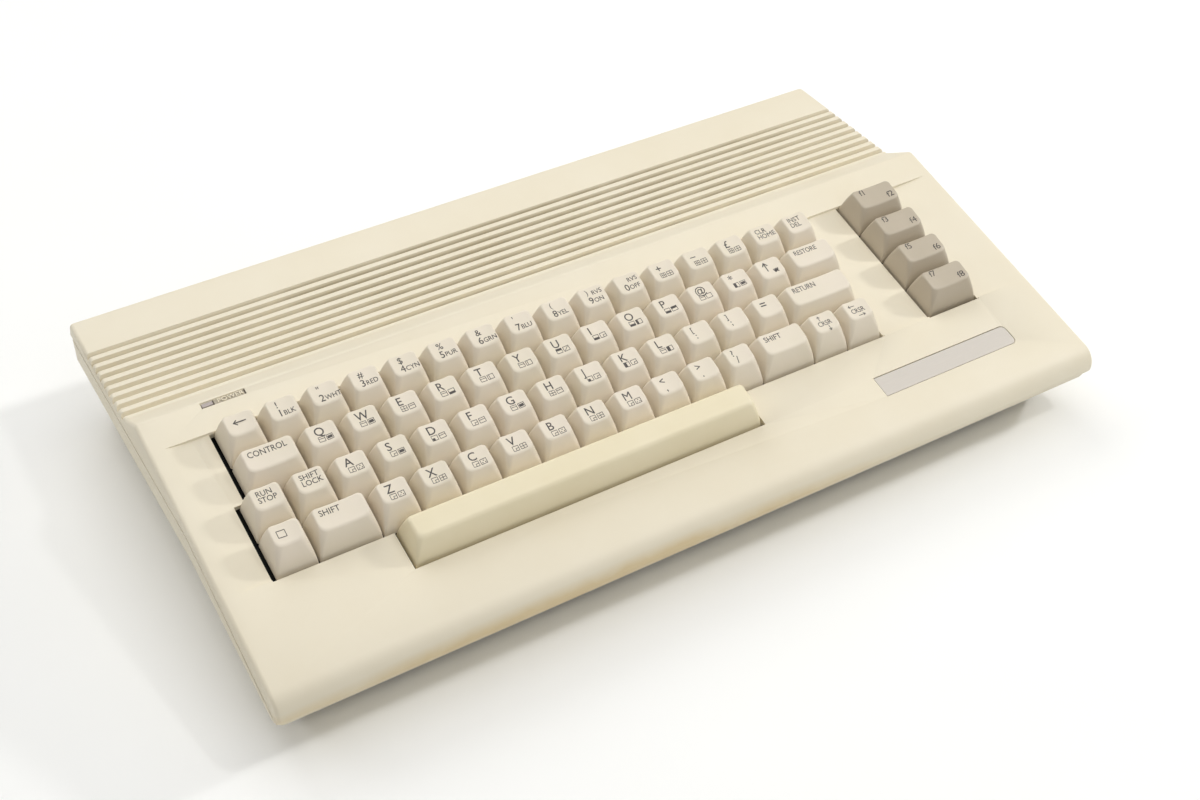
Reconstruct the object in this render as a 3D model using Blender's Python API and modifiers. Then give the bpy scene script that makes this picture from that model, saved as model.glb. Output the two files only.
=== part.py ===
"""Wedge-shaped home computer: two case halves, a full-travel keyboard, boards and sockets.

Metres, +Z up, +Y to the rear. The origin is on the table, under the middle of the case.
Rows of keys are laid out in key units on the keyboard plane, which tilts towards the front.
"""
import math

import bmesh
import bpy
from mathutils import Matrix, Vector

MM = 0.001

# Case outline
SIDE_LEFT = 23 * MM
SIDE_RIGHT = 30.8 * MM
REAR_PANEL = 28.2 * MM
WALL = 2.6 * MM
EDGE_RADIUS = 1.8 * MM
EDGE_FADE = 2.5 * MM
REAR_LEAN = 1.7 * MM
CORNER_STEPS = 4
OVERRUN = 20 * MM
GAP = 0.3 * MM

# Height of the keyboard plane at the front edge of the keys; the deck runs parallel above it
WELL_Z = 45 * MM
WELL_FROM_FRONT = 50.2 * MM
WELL_ANGLE = math.radians(13)
DECK_ANGLE = WELL_ANGLE
RECESS_DEPTH = 1.2 * MM
RIDGE_BEHIND_KEYS = 16.03 * MM
RIDGE_RADIUS = 3 * MM
NOSE_RADIUS = 9 * MM
CHIN_RADIUS = 4 * MM
CHIN_ANGLE = math.radians(70)
NOSE_END_ANGLE = math.radians(90)
NOSE_STEPS = 8

# Flat rear top with its grooves
REAR_TOP_Z = 56.5 * MM
REAR_EDGE_RADIUS = 3 * MM
RISE_FOOT_FROM_GROOVE = 3.2 * MM
GROOVE_COUNT = 9
GROOVE_PITCH = 5.59 * MM
GROOVE_WIDTH = 2.9 * MM
GROOVE_FLOOR_WIDTH = 1.5 * MM
GROOVE_DEPTH = 2.8 * MM
GROOVES_BEHIND_RIDGE = 19.8 * MM

# Seam between the case halves: level behind, sloping down to the front
SEAM_REAR_Z = 48.5 * MM
SEAM_BEND_FROM_FRONT = 85.5 * MM
SEAM_ANGLE = math.radians(17)
SEAM_GAP = 0.95 * MM

# Lower case: it stands a little proud of the upper one along the sides
LOWER_INSET = -0.2 * MM
LOWER_BAND = 11 * MM
LOWER_FRONT_BAND = 1.2 * MM
FRONT_SHELF = 3 * MM
BASE_Z = 3.5 * MM
BASE_SIDE_INSET = 11 * MM
BASE_FRONT_INSET = 16 * MM
BASE_REAR_INSET = 5 * MM
PLAN_RADIUS = 4 * MM
FLOOR = 3 * MM

# Keys
PITCH = 18.6 * MM
KEY_GAP = 0.5 * MM
CAP_BASE_Z = -1.5 * MM
CAP_TOP_Z = 11.6 * MM
CAP_TOP_RISE = 0.9 * MM
CAP_FRONT_INSET = 5.6 * MM
CAP_REAR_INSET = 1.9 * MM
CAP_SIDE_INSET = 2.9 * MM
CAP_CORNER = 2.2 * MM
CAP_DISH = 0.7 * MM
CAP_WALL = 1.3 * MM
CAP_CAVITY = 5.2 * MM
CAP_BULGE_SHARES = ((0.36, 0.2), (0.74, 0.58))
TRAVEL = 3.8 * MM
STEM_SIDE = 4.6 * MM
STEM_GAP = 0.3 * MM
STEM_BELOW_PLATE = 0.6 * MM
PRESSED_CLEARANCE = 1.2 * MM
BAR_SIDE_INSET = 3.2 * MM
BAR_STEM_UNITS = 3.4
WEB_HEIGHT = 0.8 * MM
WEB_LENGTH = 4 * MM
WEB_GRIP = 0.8 * MM

# Openings round the keys
OPENING_MARGIN = 0.8 * MM
LEFT_MARGIN = 1.8 * MM
REAR_MARGIN = 0.15 * MM
FRONT_MARGIN = 0.9 * MM
BAR_MARGIN = 0.75 * MM
RECESS_FRONT = 0.5 * MM
STEP_UNITS = 2
STEP_MARGIN = 0.55 * MM
RECESS_LEFT_RUN = 14.7 * MM
RECESS_RIGHT_RUN = 25.7 * MM
RECESS_COLUMN_COUNT = 5
RECESS_CURVE_SHARE = 2.4
RECESS_LIFT = 0.12 * MM
RECESS_HEIGHT = 14 * MM

# Keyboard frame and board, measured square to the keyboard plane
FRAME_MARGIN = 6.5 * MM
FRAME_PLATE = 2 * MM
FRAME_SKIRT = 1.5 * MM
FRAME_POST_RADIUS = 2.4 * MM
BOARD_THICKNESS = 1.6 * MM
BOARD_CLEARANCE = 0.6 * MM
WIRE_RADIUS = 0.8 * MM
WIRE_ARM = 5 * MM
RIBBON_WIDTH = 50 * MM
RIBBON_THICKNESS = 0.8 * MM
RIBBON_FROM_LEFT = 60 * MM
RIBBON_RUN = 13 * MM

# Name plate and power lamp on the deck
PLATE_LENGTH = 75.3 * MM
PLATE_HEIGHT = 10.4 * MM
PLATE_THICKNESS = 0.6 * MM
PLATE_SUNK = 0.15 * MM
PLATE_RIGHT_RADIUS = 2.4 * MM
PLATE_MARGIN = 0.3 * MM
PLATE_FROM_FRONT = 26.4 * MM
PLATE_FROM_RIGHT = 30.2 * MM
WINDOW_LENGTH = 20 * MM
WINDOW_HEIGHT = 3 * MM
WINDOW_DEPTH = 0.6 * MM
WINDOW_BEHIND_RIDGE = 0.9 * MM
WINDOW_FROM_LEFT = 28.1 * MM
LAMP_LENGTH = 6 * MM
LAMP_DEPTH = 6 * MM
LAMP_SUNK = 0.2 * MM

# Main board and its shield
MAIN_Z = 17 * MM
MAIN_DEPTH = 128 * MM
MAIN_SIDE_GAP = 17 * MM
MAIN_REAR_GAP = 11 * MM
CHIP_HEIGHT = 3.4 * MM
CHIP_LENGTH = 52 * MM
CHIP_WIDTH = 14 * MM
CHIP_COUNT = 4
CHIP_PITCH = 62 * MM
SHIELD_HEIGHT = 9 * MM
SHIELD_SHEET = 0.6 * MM
SHIELD_LENGTH = 250 * MM
SHIELD_BEHIND_RIBBON = 8.7 * MM
SHIELD_FROM_REAR = 42 * MM
SHIELD_SHIFT = 16 * MM
POST_RADIUS = 3.2 * MM
POST_FACET_COUNT = 12

# Right-hand side: two control ports, power switch and power socket
PORT_REACH = 5.6 * MM
PORT_GAP = 0.4 * MM
CONTROL_LENGTH = 31 * MM
CONTROL_HEIGHT = 12.6 * MM
CONTROL_DEPTH = 12 * MM
CONTROL_MOUTH_LENGTH = 18 * MM
CONTROL_MOUTH_HEIGHT = 9 * MM
CONTROL_MOUTH_DEPTH = 6 * MM
CONTROL_BEFORE_SWITCH = 7.5 * MM
CONTROL_PITCH = 35 * MM
SWITCH_BEFORE_POWER = 4 * MM
SWITCH_LENGTH = 15 * MM
SWITCH_HEIGHT = 12 * MM
SWITCH_DEPTH = 14 * MM
SWITCH_WALL = 1.6 * MM
ROCKER_THICKNESS = 4.6 * MM
ROCKER_PROUD = 1.4 * MM
ROCKER_ANGLE = math.radians(9)
ROCKER_TILT = math.radians(7)
POWER_FROM_REAR = 25 * MM
DIN_SIDE = 19 * MM
DIN_HEIGHT = 19 * MM
DIN_DEPTH = 13 * MM
DIN_RADIUS = 7.2 * MM
DIN_MOUTH = 8 * MM
DIN_FACET_COUNT = 20

# Rear: edge slots, sockets and the modulator, places along the width
REAR_REACH = 4 * MM
USER_SLOT_WIDTH = 62 * MM
TAPE_SLOT_WIDTH = 30 * MM
EDGE_SLOT_HEIGHT = 11 * MM
EDGE_TONGUE = 8.5 * MM
EDGE_SLOT_MARGIN = 2 * MM
USER_CENTRE_SHARE = 0.355
TAPE_CENTRE_SHARE = 0.212
SERIAL_CENTRE_SHARE = 0.118
AV_CENTRE_SHARE = 0.048
MODULATOR_CENTRE_SHARE = -0.062
CARTRIDGE_CENTRE_SHARE = -0.29
MODULATOR_WIDTH = 46 * MM
MODULATOR_HEIGHT = 22 * MM
MODULATOR_DEPTH = 38 * MM
MODULATOR_JACK_RADIUS = 4.2 * MM
MODULATOR_JACK_LENGTH = 6 * MM
CARTRIDGE_WIDTH = 76 * MM
CARTRIDGE_HEIGHT = 15 * MM
CARTRIDGE_DEPTH = 22 * MM
CARTRIDGE_SLOT_WIDTH = 64 * MM
CARTRIDGE_SLOT_HEIGHT = 5.4 * MM
CARTRIDGE_SLOT_DEPTH = 14 * MM

# Feet, screws and bottom vents
FOOT_RADIUS = 7 * MM
FOOT_SIDE_INSET = 30 * MM
FOOT_FRONT = 34 * MM
FOOT_REAR = 24 * MM
FOOT_BEVEL = 0.8 * MM
SCREW_RADIUS = 1.5 * MM
SCREW_HEAD_RADIUS = 3 * MM
SCREW_HEAD = 2 * MM
SCREW_GRIP = 8 * MM
SCREW_FROM_FRONT = 22 * MM
SCREW_SPREAD = 150 * MM
SCREW_FACET_COUNT = 12
BOSS_RADIUS = 4.2 * MM
BOSS_Z = 15 * MM
VENT_COUNT = 9
VENT_LENGTH = 34 * MM
VENT_WIDTH = 3 * MM
VENT_PITCH = 9 * MM
VENT_FROM_MAIN_FRONT = 36 * MM

# Key layout in shares of the pitch: name, left edge, width, row (row 0 is the front letter row)
KEY_PLACE_SHARES = (
    ("key_left_arrow", 0, 1, 3),
    ("key_home", 14, 1, 3),
    ("key_delete", 15, 1, 3),
    ("key_control", 0, 1.5, 2),
    ("key_up_arrow", 13.5, 1, 2),
    ("key_restore", 14.5, 1.5, 2),
    ("key_stop", -0.25, 1, 1),
    ("key_shift_lock", 0.75, 1, 1),
    ("key_return", 13.75, 2, 1),
    ("key_mode", -0.25, 1, 0),
    ("key_shift_left", 0.75, 1.5, 0),
    ("key_shift_right", 12.25, 1.5, 0),
    ("key_cursor_vertical", 13.75, 1, 0),
    ("key_cursor_horizontal", 14.75, 1, 0),
)
HOME_ROW_NAMES = ("a", "s", "d", "f", "g", "h", "j", "k", "l", "colon", "semicolon", "equals")
HOME_ROW_LEFT = 1.75
HOME_ROW = 1
FUNCTION_NAMES = ("key_f7", "key_f5", "key_f3", "key_f1")
FUNCTION_LEFT = 17.25
FUNCTION_WIDTH = 1.5
BANK_PLACE_SHARES = (
    ("keys_number_row", 1, 13, 3),
    ("keys_upper_row", 1.5, 12, 2),
    ("keys_lower_row", 2.25, 10, 0),
)
BAR_LEFT = 2.5
BAR_WIDTH = 9
BAR_ROW = -1
MAIN_RIGHT_UNITS = 16
LOWER_RIGHT_UNITS = 15.75
LOWER_LEFT_UNITS = -0.25
ROW_COUNT = 4

# Sizes worked out from the ones above
FIELD_WIDTH = (FUNCTION_LEFT + FUNCTION_WIDTH - LOWER_LEFT_UNITS) * PITCH
CASE_WIDTH = SIDE_LEFT + FIELD_WIDTH + SIDE_RIGHT
OPENING_REAR = ROW_COUNT * PITCH + REAR_MARGIN
RIDGE_FROM_FRONT = WELL_FROM_FRONT + OPENING_REAR * math.cos(WELL_ANGLE) + RIDGE_BEHIND_KEYS
LAST_GROOVE_FROM_FRONT = RIDGE_FROM_FRONT + GROOVES_BEHIND_RIDGE
CASE_DEPTH = LAST_GROOVE_FROM_FRONT + (GROOVE_COUNT - 1) * GROOVE_PITCH + REAR_PANEL
FRONT_Y = -CASE_DEPTH / 2
REAR_Y = CASE_DEPTH / 2
WELL_Y = FRONT_Y + WELL_FROM_FRONT
HALF_WIDTH = CASE_WIDTH / 2
KEYS_LEFT = -HALF_WIDTH + SIDE_LEFT - LOWER_LEFT_UNITS * PITCH
FRAME_TOP = CAP_BASE_Z - TRAVEL - PRESSED_CLEARANCE
FRAME_PLATE_BOTTOM = FRAME_TOP - FRAME_PLATE
STEM_BOTTOM = FRAME_PLATE_BOTTOM - STEM_BELOW_PLATE
BOARD_TOP = STEM_BOTTOM - TRAVEL - BOARD_CLEARANCE
POWER_Y = REAR_Y - POWER_FROM_REAR
SWITCH_Y = POWER_Y - DIN_SIDE / 2 - SWITCH_BEFORE_POWER - SWITCH_LENGTH / 2
CONTROL_REAR_Y = SWITCH_Y - SWITCH_LENGTH / 2 - CONTROL_BEFORE_SWITCH - CONTROL_LENGTH / 2
CONTROL_FRONT_Y = CONTROL_REAR_Y - CONTROL_PITCH
WIRE_HALF_SPAN = BAR_STEM_UNITS * PITCH - STEM_SIDE / 2 - STEM_GAP - 3 * WIRE_RADIUS
DECK_TO_WORLD = Matrix.Translation((0, WELL_Y, WELL_Z)) @ Matrix.Rotation(WELL_ANGLE, 4, "X")

CASE_COLOUR = (0.83, 0.77, 0.63, 1)
CAP_COLOUR = (0.80, 0.75, 0.62, 1)
BAR_COLOUR = (0.84, 0.77, 0.58, 1)
FUNCTION_COLOUR = (0.60, 0.55, 0.46, 1)
PLATE_COLOUR = (0.58, 0.52, 0.45, 1)
LAMP_COLOUR = (0.45, 0.16, 0.12, 1)
METAL_COLOUR = (0.72, 0.72, 0.70, 1)
BLACK_COLOUR = (0.02, 0.02, 0.02, 1)
BOARD_COLOUR = (0.05, 0.20, 0.08, 1)
GREY_COLOUR = (0.30, 0.30, 0.31, 1)


def clear_scene():
    """Remove every object that the scene starts with."""
    for item in list(bpy.data.objects):
        bpy.data.objects.remove(item, do_unlink=True)


def new_collection(name):
    """Make a collection under the scene's own and return it."""
    group = bpy.data.collections.new(name)
    bpy.context.scene.collection.children.link(group)
    return group


def material(name, colour, roughness, metallic):
    """A Principled material with one colour."""
    finish = bpy.data.materials.new(name)
    finish.use_nodes = True
    shader = finish.node_tree.nodes["Principled BSDF"]
    shader.inputs["Base Color"].default_value = colour
    shader.inputs["Roughness"].default_value = roughness
    shader.inputs["Metallic"].default_value = metallic
    return finish


def finish_mesh(shape, name):
    """Close a bmesh with its faces outward and return its mesh."""
    bmesh.ops.recalc_face_normals(shape, faces=shape.faces)
    mesh = bpy.data.meshes.new(name)
    shape.to_mesh(mesh)
    shape.free()
    return mesh


def add_object(name, mesh, group, finish=None, matrix=None):
    """Link a mesh as a named object, placed by a matrix."""
    item = bpy.data.objects.new(name, mesh)
    group.objects.link(item)
    if matrix is not None:
        item.matrix_world = matrix
    if finish is not None and not mesh.materials:
        mesh.materials.append(finish)
    return item


def hide_cutter(item):
    """Mark an object as a cutter, so that only its effect is seen."""
    item.hide_render = True
    item.display_type = "WIRE"


def boolean(item, other, operation):
    """Cut or join a part with another mesh by the exact solver."""
    modifier = item.modifiers.new(other.name, "BOOLEAN")
    modifier.object = other
    modifier.operation = operation
    modifier.solver = "EXACT"


def cut(item, mesh, cutters, matrix=None):
    """Take a mesh out of a part."""
    tool = add_object(mesh.name, mesh, cutters, None, matrix)
    hide_cutter(tool)
    boolean(item, tool, "DIFFERENCE")


def join(item, mesh, cutters, matrix=None):
    """Add a mesh to a part as one body."""
    tool = add_object(mesh.name, mesh, cutters, None, matrix)
    hide_cutter(tool)
    boolean(item, tool, "UNION")


def add_box(shape, low, high):
    """Add a box between two corners to a bmesh and return its vertices."""
    size = Vector(high) - Vector(low)
    middle = (Vector(high) + Vector(low)) / 2
    made = bmesh.ops.create_cube(shape, size=1)["verts"]
    bmesh.ops.scale(shape, vec=size, verts=made)
    bmesh.ops.translate(shape, vec=middle, verts=made)
    return made


def box_mesh(name, *corner_pairs):
    """One mesh that holds a box for each pair of corners."""
    shape = bmesh.new()
    for low, high in corner_pairs:
        add_box(shape, low, high)
    return finish_mesh(shape, name)


def add_cylinder(shape, radius, low, high, axis, sides):
    """Add a closed cylinder between two points that lie along one axis."""
    low = Vector(low)
    high = Vector(high)
    turn = Vector((0, 0, 1)).rotation_difference(Vector(axis)).to_matrix().to_4x4()
    place = Matrix.Translation((low + high) / 2) @ turn
    bmesh.ops.create_cone(
        shape,
        cap_ends=True,
        segments=sides,
        radius1=radius,
        radius2=radius,
        depth=(high - low).length,
        matrix=place,
    )


def prism(name, outline, low, high, axis="X"):
    """Sweep a flat outline between two places along X, or along Z."""
    shape = bmesh.new()
    if axis == "X":
        corners = [shape.verts.new((low, a, b)) for a, b in outline]
        sweep = Vector((high - low, 0, 0))
    else:
        corners = [shape.verts.new((a, b, low)) for a, b in outline]
        sweep = Vector((0, 0, high - low))
    face = shape.faces.new(corners)
    moved = bmesh.ops.extrude_face_region(shape, geom=[face])["geom"]
    verts = [part for part in moved if isinstance(part, bmesh.types.BMVert)]
    bmesh.ops.translate(shape, vec=sweep, verts=verts)
    return shape


def arc(centre, radius, start, end, steps):
    """Points of an arc, its angles measured from straight up towards the front."""
    points = []
    for step in range(steps + 1):
        angle = start + (end - start) * step / steps
        points.append((centre[0] - radius * math.sin(angle), centre[1] + radius * math.cos(angle)))
    return points


def fillet(before, corner, after, radius, steps):
    """Round a corner of an outline between two neighbours."""
    one = (Vector(before) - Vector(corner)).normalized()
    two = (Vector(after) - Vector(corner)).normalized()
    half = one.angle(two) / 2
    reach = radius / math.tan(half)
    centre = Vector(corner) + (one + two).normalized() * radius / math.sin(half)
    start = Vector(corner) + one * reach - centre
    turn = start.angle_signed(Vector(corner) + two * reach - centre)
    points = []
    for step in range(steps + 1):
        angle = -turn * step / steps
        cos = math.cos(angle)
        sin = math.sin(angle)
        spoke = Vector((start.x * cos - start.y * sin, start.x * sin + start.y * cos))
        points.append(tuple(centre + spoke))
    return points


def seam_z(y):
    """Height of the seam at a place along the depth."""
    ahead = FRONT_Y + SEAM_BEND_FROM_FRONT - y
    return SEAM_REAR_Z - max(ahead, 0) * math.tan(SEAM_ANGLE)


def deck_z(y):
    """Height of the sloping deck."""
    return WELL_Z + RECESS_DEPTH + (y - WELL_Y) * math.tan(DECK_ANGLE)


def well_z(y):
    """Height of the keyboard plane."""
    return WELL_Z + (y - WELL_Y) * math.tan(WELL_ANGLE)


def unit_x(units):
    """Place across the width of a key unit."""
    return KEYS_LEFT + units * PITCH


def nose():
    """Front rounding: from the seam round the chin, straight up and over to the deck."""
    chin_end = NOSE_END_ANGLE + CHIN_ANGLE
    seam_y = FRONT_Y + CHIN_RADIUS * (1 - math.sin(chin_end))
    chin_centre = (FRONT_Y + CHIN_RADIUS, seam_z(seam_y) - CHIN_RADIUS * math.cos(chin_end))
    top_y = FRONT_Y + NOSE_RADIUS
    top_centre = (top_y, deck_z(top_y) - NOSE_RADIUS / math.cos(DECK_ANGLE))
    points = arc(chin_centre, CHIN_RADIUS, chin_end, NOSE_END_ANGLE, NOSE_STEPS)
    return points + arc(top_centre, NOSE_RADIUS, NOSE_END_ANGLE, DECK_ANGLE, NOSE_STEPS)


def upper_profile():
    """Side outline of the upper case, from the seam at the front over the top to the rear."""
    front = nose()
    ridge_y = FRONT_Y + RIDGE_FROM_FRONT
    ridge = (ridge_y, deck_z(ridge_y))
    foot = (FRONT_Y + LAST_GROOVE_FROM_FRONT - RISE_FOOT_FROM_GROOVE, REAR_TOP_Z)
    rear_top = (REAR_Y - REAR_LEAN, REAR_TOP_Z)
    rear_seam = (REAR_Y, seam_z(REAR_Y))
    outline = list(front)
    outline += fillet(front[-1], ridge, foot, RIDGE_RADIUS, CORNER_STEPS)
    outline.append(foot)
    outline += fillet(foot, rear_top, rear_seam, REAR_EDGE_RADIUS, CORNER_STEPS)
    outline.append(rear_seam)
    outline.append((FRONT_Y + SEAM_BEND_FROM_FRONT, SEAM_REAR_Z))
    return outline


def drawn_in(outline, inset):
    """Outline with its points moved inward, by less and less down to the seam."""
    points = [Vector(point) for point in outline]
    count = len(points)
    area = sum(points[index - 1].cross(points[index]) for index in range(count))
    inward = math.copysign(1, area)
    moved = []
    for index in range(count):
        before = (points[index] - points[index - 1]).normalized()
        after = (points[(index + 1) % count] - points[index]).normalized()
        along = (before + after).normalized()
        square = Vector((-along.y, along.x)) * inward
        above = points[index].y - seam_z(points[index].x)
        share = min(max(above / EDGE_FADE, 0), 1)
        moved.append(tuple(points[index] + square * inset * share))
    return moved


def rounded_wedge(name):
    """Wedge of the upper case, its outline drawn in towards both sides to round the edges."""
    outline = upper_profile()
    rings = []
    for step in range(CORNER_STEPS + 1):
        angle = math.pi / 2 * step / CORNER_STEPS
        ring = drawn_in(outline, EDGE_RADIUS * (1 - math.sin(angle)))
        rings.append((HALF_WIDTH - EDGE_RADIUS * (1 - math.cos(angle)), ring))
    left = [[(-x, y, z) for y, z in ring] for x, ring in rings]
    right = [[(x, y, z) for y, z in ring] for x, ring in reversed(rings)]
    return loft(left + right, name)


def hollow_profile():
    """Side outline of the space inside the upper case."""
    lift = WALL / math.cos(DECK_ANGLE)
    step_y = WELL_Y + OPENING_REAR * math.cos(WELL_ANGLE)
    front_y = FRONT_Y + WALL + NOSE_RADIUS / 2
    ridge_y = FRONT_Y + RIDGE_FROM_FRONT
    foot_y = FRONT_Y + LAST_GROOVE_FROM_FRONT - RISE_FOOT_FROM_GROOVE
    ceiling = REAR_TOP_Z - GROOVE_DEPTH - WALL
    rear_y = REAR_Y - REAR_LEAN - WALL
    rise = REAR_TOP_Z + (deck_z(ridge_y) - REAR_TOP_Z) / 2 - GROOVE_DEPTH
    return [
        (FRONT_Y + 2 * WALL, seam_z(FRONT_Y) - OVERRUN),
        (FRONT_Y + 2 * WALL, deck_z(front_y) - 2 * lift - WALL),
        (front_y, deck_z(front_y) - 2 * lift),
        (WELL_Y, WELL_Z - lift),
        (step_y + WALL / 2, well_z(step_y + WALL / 2) - lift),
        (step_y + 2 * WALL, deck_z(step_y + 2 * WALL) - lift),
        (ridge_y, deck_z(ridge_y) - lift),
        ((ridge_y + foot_y) / 2, rise),
        (foot_y, ceiling),
        (rear_y, ceiling),
        (rear_y, SEAM_REAR_Z - OVERRUN),
    ]


def main_opening():
    """Outline of the main key opening on the keyboard plane."""
    margin = OPENING_MARGIN
    left_step = STEP_UNITS * PITCH + STEP_MARGIN
    right_step = STEP_UNITS * PITCH - STEP_MARGIN
    rear = OPENING_REAR
    return [
        (unit_x(LOWER_LEFT_UNITS) - LEFT_MARGIN, -FRONT_MARGIN),
        (unit_x(BAR_LEFT) - BAR_MARGIN, -FRONT_MARGIN),
        (unit_x(BAR_LEFT) - BAR_MARGIN, BAR_ROW * PITCH - BAR_MARGIN),
        (unit_x(BAR_LEFT + BAR_WIDTH) + BAR_MARGIN, BAR_ROW * PITCH - BAR_MARGIN),
        (unit_x(BAR_LEFT + BAR_WIDTH) + BAR_MARGIN, -FRONT_MARGIN),
        (unit_x(LOWER_RIGHT_UNITS) + margin, -FRONT_MARGIN),
        (unit_x(LOWER_RIGHT_UNITS) + margin, right_step),
        (unit_x(MAIN_RIGHT_UNITS) + margin, right_step),
        (unit_x(MAIN_RIGHT_UNITS) + margin, rear),
        (unit_x(0) - LEFT_MARGIN, rear),
        (unit_x(0) - LEFT_MARGIN, left_step),
        (unit_x(LOWER_LEFT_UNITS) - LEFT_MARGIN, left_step),
    ]


def function_opening():
    """Outline of the function-key opening on the keyboard plane."""
    margin = OPENING_MARGIN
    left = unit_x(FUNCTION_LEFT) - margin
    right = unit_x(FUNCTION_LEFT + FUNCTION_WIDTH) + margin
    return [(left, -FRONT_MARGIN), (right, -FRONT_MARGIN), (right, OPENING_REAR), (left, OPENING_REAR)]


def recess_mesh():
    """Cutter for the shallow recess: flat between the keys, rising to nothing at both sides."""
    inner_left = unit_x(LOWER_LEFT_UNITS) - LEFT_MARGIN
    inner_right = unit_x(FUNCTION_LEFT + FUNCTION_WIDTH) + OPENING_MARGIN
    rear = WELL_Y + OPENING_REAR * math.cos(WELL_ANGLE)
    front = WELL_Y - RECESS_FRONT
    stations = []
    for step in range(RECESS_COLUMN_COUNT + 1):
        share = step / RECESS_COLUMN_COUNT
        stations.append((inner_left - RECESS_LEFT_RUN * (1 - share), (1 - share) ** RECESS_CURVE_SHARE))
    for step in range(RECESS_COLUMN_COUNT + 1):
        share = step / RECESS_COLUMN_COUNT
        stations.append((inner_right + RECESS_RIGHT_RUN * share, share ** RECESS_CURVE_SHARE))
    shape = bmesh.new()
    edges = []
    for x, share in stations:
        line = []
        for y in (front, rear):
            lifted = deck_z(y) + RECESS_LIFT
            line.append(shape.verts.new((x, y, well_z(y) + (lifted - well_z(y)) * share)))
        edges.append(line)
    for near, far in zip(edges, edges[1:]):
        shape.faces.new((near[0], far[0], far[1], near[1]))
    floor = list(shape.faces)
    moved = bmesh.ops.extrude_face_region(shape, geom=floor)["geom"]
    verts = [part for part in moved if isinstance(part, bmesh.types.BMVert)]
    bmesh.ops.translate(shape, vec=(0, 0, RECESS_HEIGHT), verts=verts)
    return finish_mesh(shape, "recess_cut")


def groove_mesh():
    """Cutter for the grooves across the rear top, open at both ends."""
    shape = bmesh.new()
    for index in range(GROOVE_COUNT):
        middle = FRONT_Y + LAST_GROOVE_FROM_FRONT + index * GROOVE_PITCH
        slope = (GROOVE_WIDTH - GROOVE_FLOOR_WIDTH) / 2 / GROOVE_DEPTH
        half_top = GROOVE_WIDTH / 2 + slope * WALL
        half_floor = GROOVE_FLOOR_WIDTH / 2
        floor_z = REAR_TOP_Z - GROOVE_DEPTH
        outline = [
            (middle - half_floor, floor_z),
            (middle + half_floor, floor_z),
            (middle + half_top, REAR_TOP_Z + WALL),
            (middle - half_top, REAR_TOP_Z + WALL),
        ]
        part = prism("groove", outline, -HALF_WIDTH - OVERRUN, HALF_WIDTH + OVERRUN)
        mesh = finish_mesh(part, "groove")
        shape.from_mesh(mesh)
        bpy.data.meshes.remove(mesh)
    return finish_mesh(shape, "grooves_cut")


def on_deck(x, y, depth=0):
    """Matrix for a flat thing on the sloping deck, its own Z square to the deck."""
    tilt = Matrix.Rotation(DECK_ANGLE, 4, "X")
    sink = Matrix.Translation((0, 0, -depth))
    return Matrix.Translation((x, y, deck_z(y))) @ tilt @ sink


def plate_outline(margin):
    """Outline of the name plate, its right-hand corners rounded."""
    half = PLATE_LENGTH / 2 + margin
    tall = PLATE_HEIGHT / 2 + margin
    radius = PLATE_RIGHT_RADIUS + margin
    outline = [(-half, -tall)]
    outline += fillet((-half, -tall), (half, -tall), (half, tall), radius, CORNER_STEPS)
    outline += fillet((half, -tall), (half, tall), (-half, tall), radius, CORNER_STEPS)
    outline.append((-half, tall))
    return outline


def plate_place(depth):
    """Matrix of the name plate's seat."""
    x = HALF_WIDTH - PLATE_FROM_RIGHT - PLATE_LENGTH / 2
    return on_deck(x, FRONT_Y + PLATE_FROM_FRONT, depth)


def window_place(depth):
    """Matrix of the power window behind the keys."""
    x = -HALF_WIDTH + WINDOW_FROM_LEFT + WINDOW_LENGTH / 2
    y = FRONT_Y + RIDGE_FROM_FRONT - WINDOW_BEHIND_RIDGE - WINDOW_HEIGHT / 2
    return on_deck(x, y, depth)


def frame_box():
    """Plan limits of the keyboard frame on the keyboard plane."""
    left = unit_x(LOWER_LEFT_UNITS) - OPENING_MARGIN - FRAME_MARGIN
    right = unit_x(FUNCTION_LEFT + FUNCTION_WIDTH) + OPENING_MARGIN + FRAME_MARGIN
    front = BAR_ROW * PITCH - FRAME_MARGIN
    rear = OPENING_REAR + FRAME_MARGIN
    return left, right, front, rear


def post_places():
    """Places of the posts that carry the keyboard frame under the deck."""
    left, right, front, rear = frame_box()
    inset = FRAME_MARGIN / 2 - 2 * GAP
    rows = (PITCH / 2, rear - inset)
    return [(x, y) for x in (left + inset, right - inset) for y in rows]


def screw_places():
    """Places of the case screws along the front."""
    y = FRONT_Y + SCREW_FROM_FRONT
    return [(x, y) for x in (-SCREW_SPREAD, 0, SCREW_SPREAD)]


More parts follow.
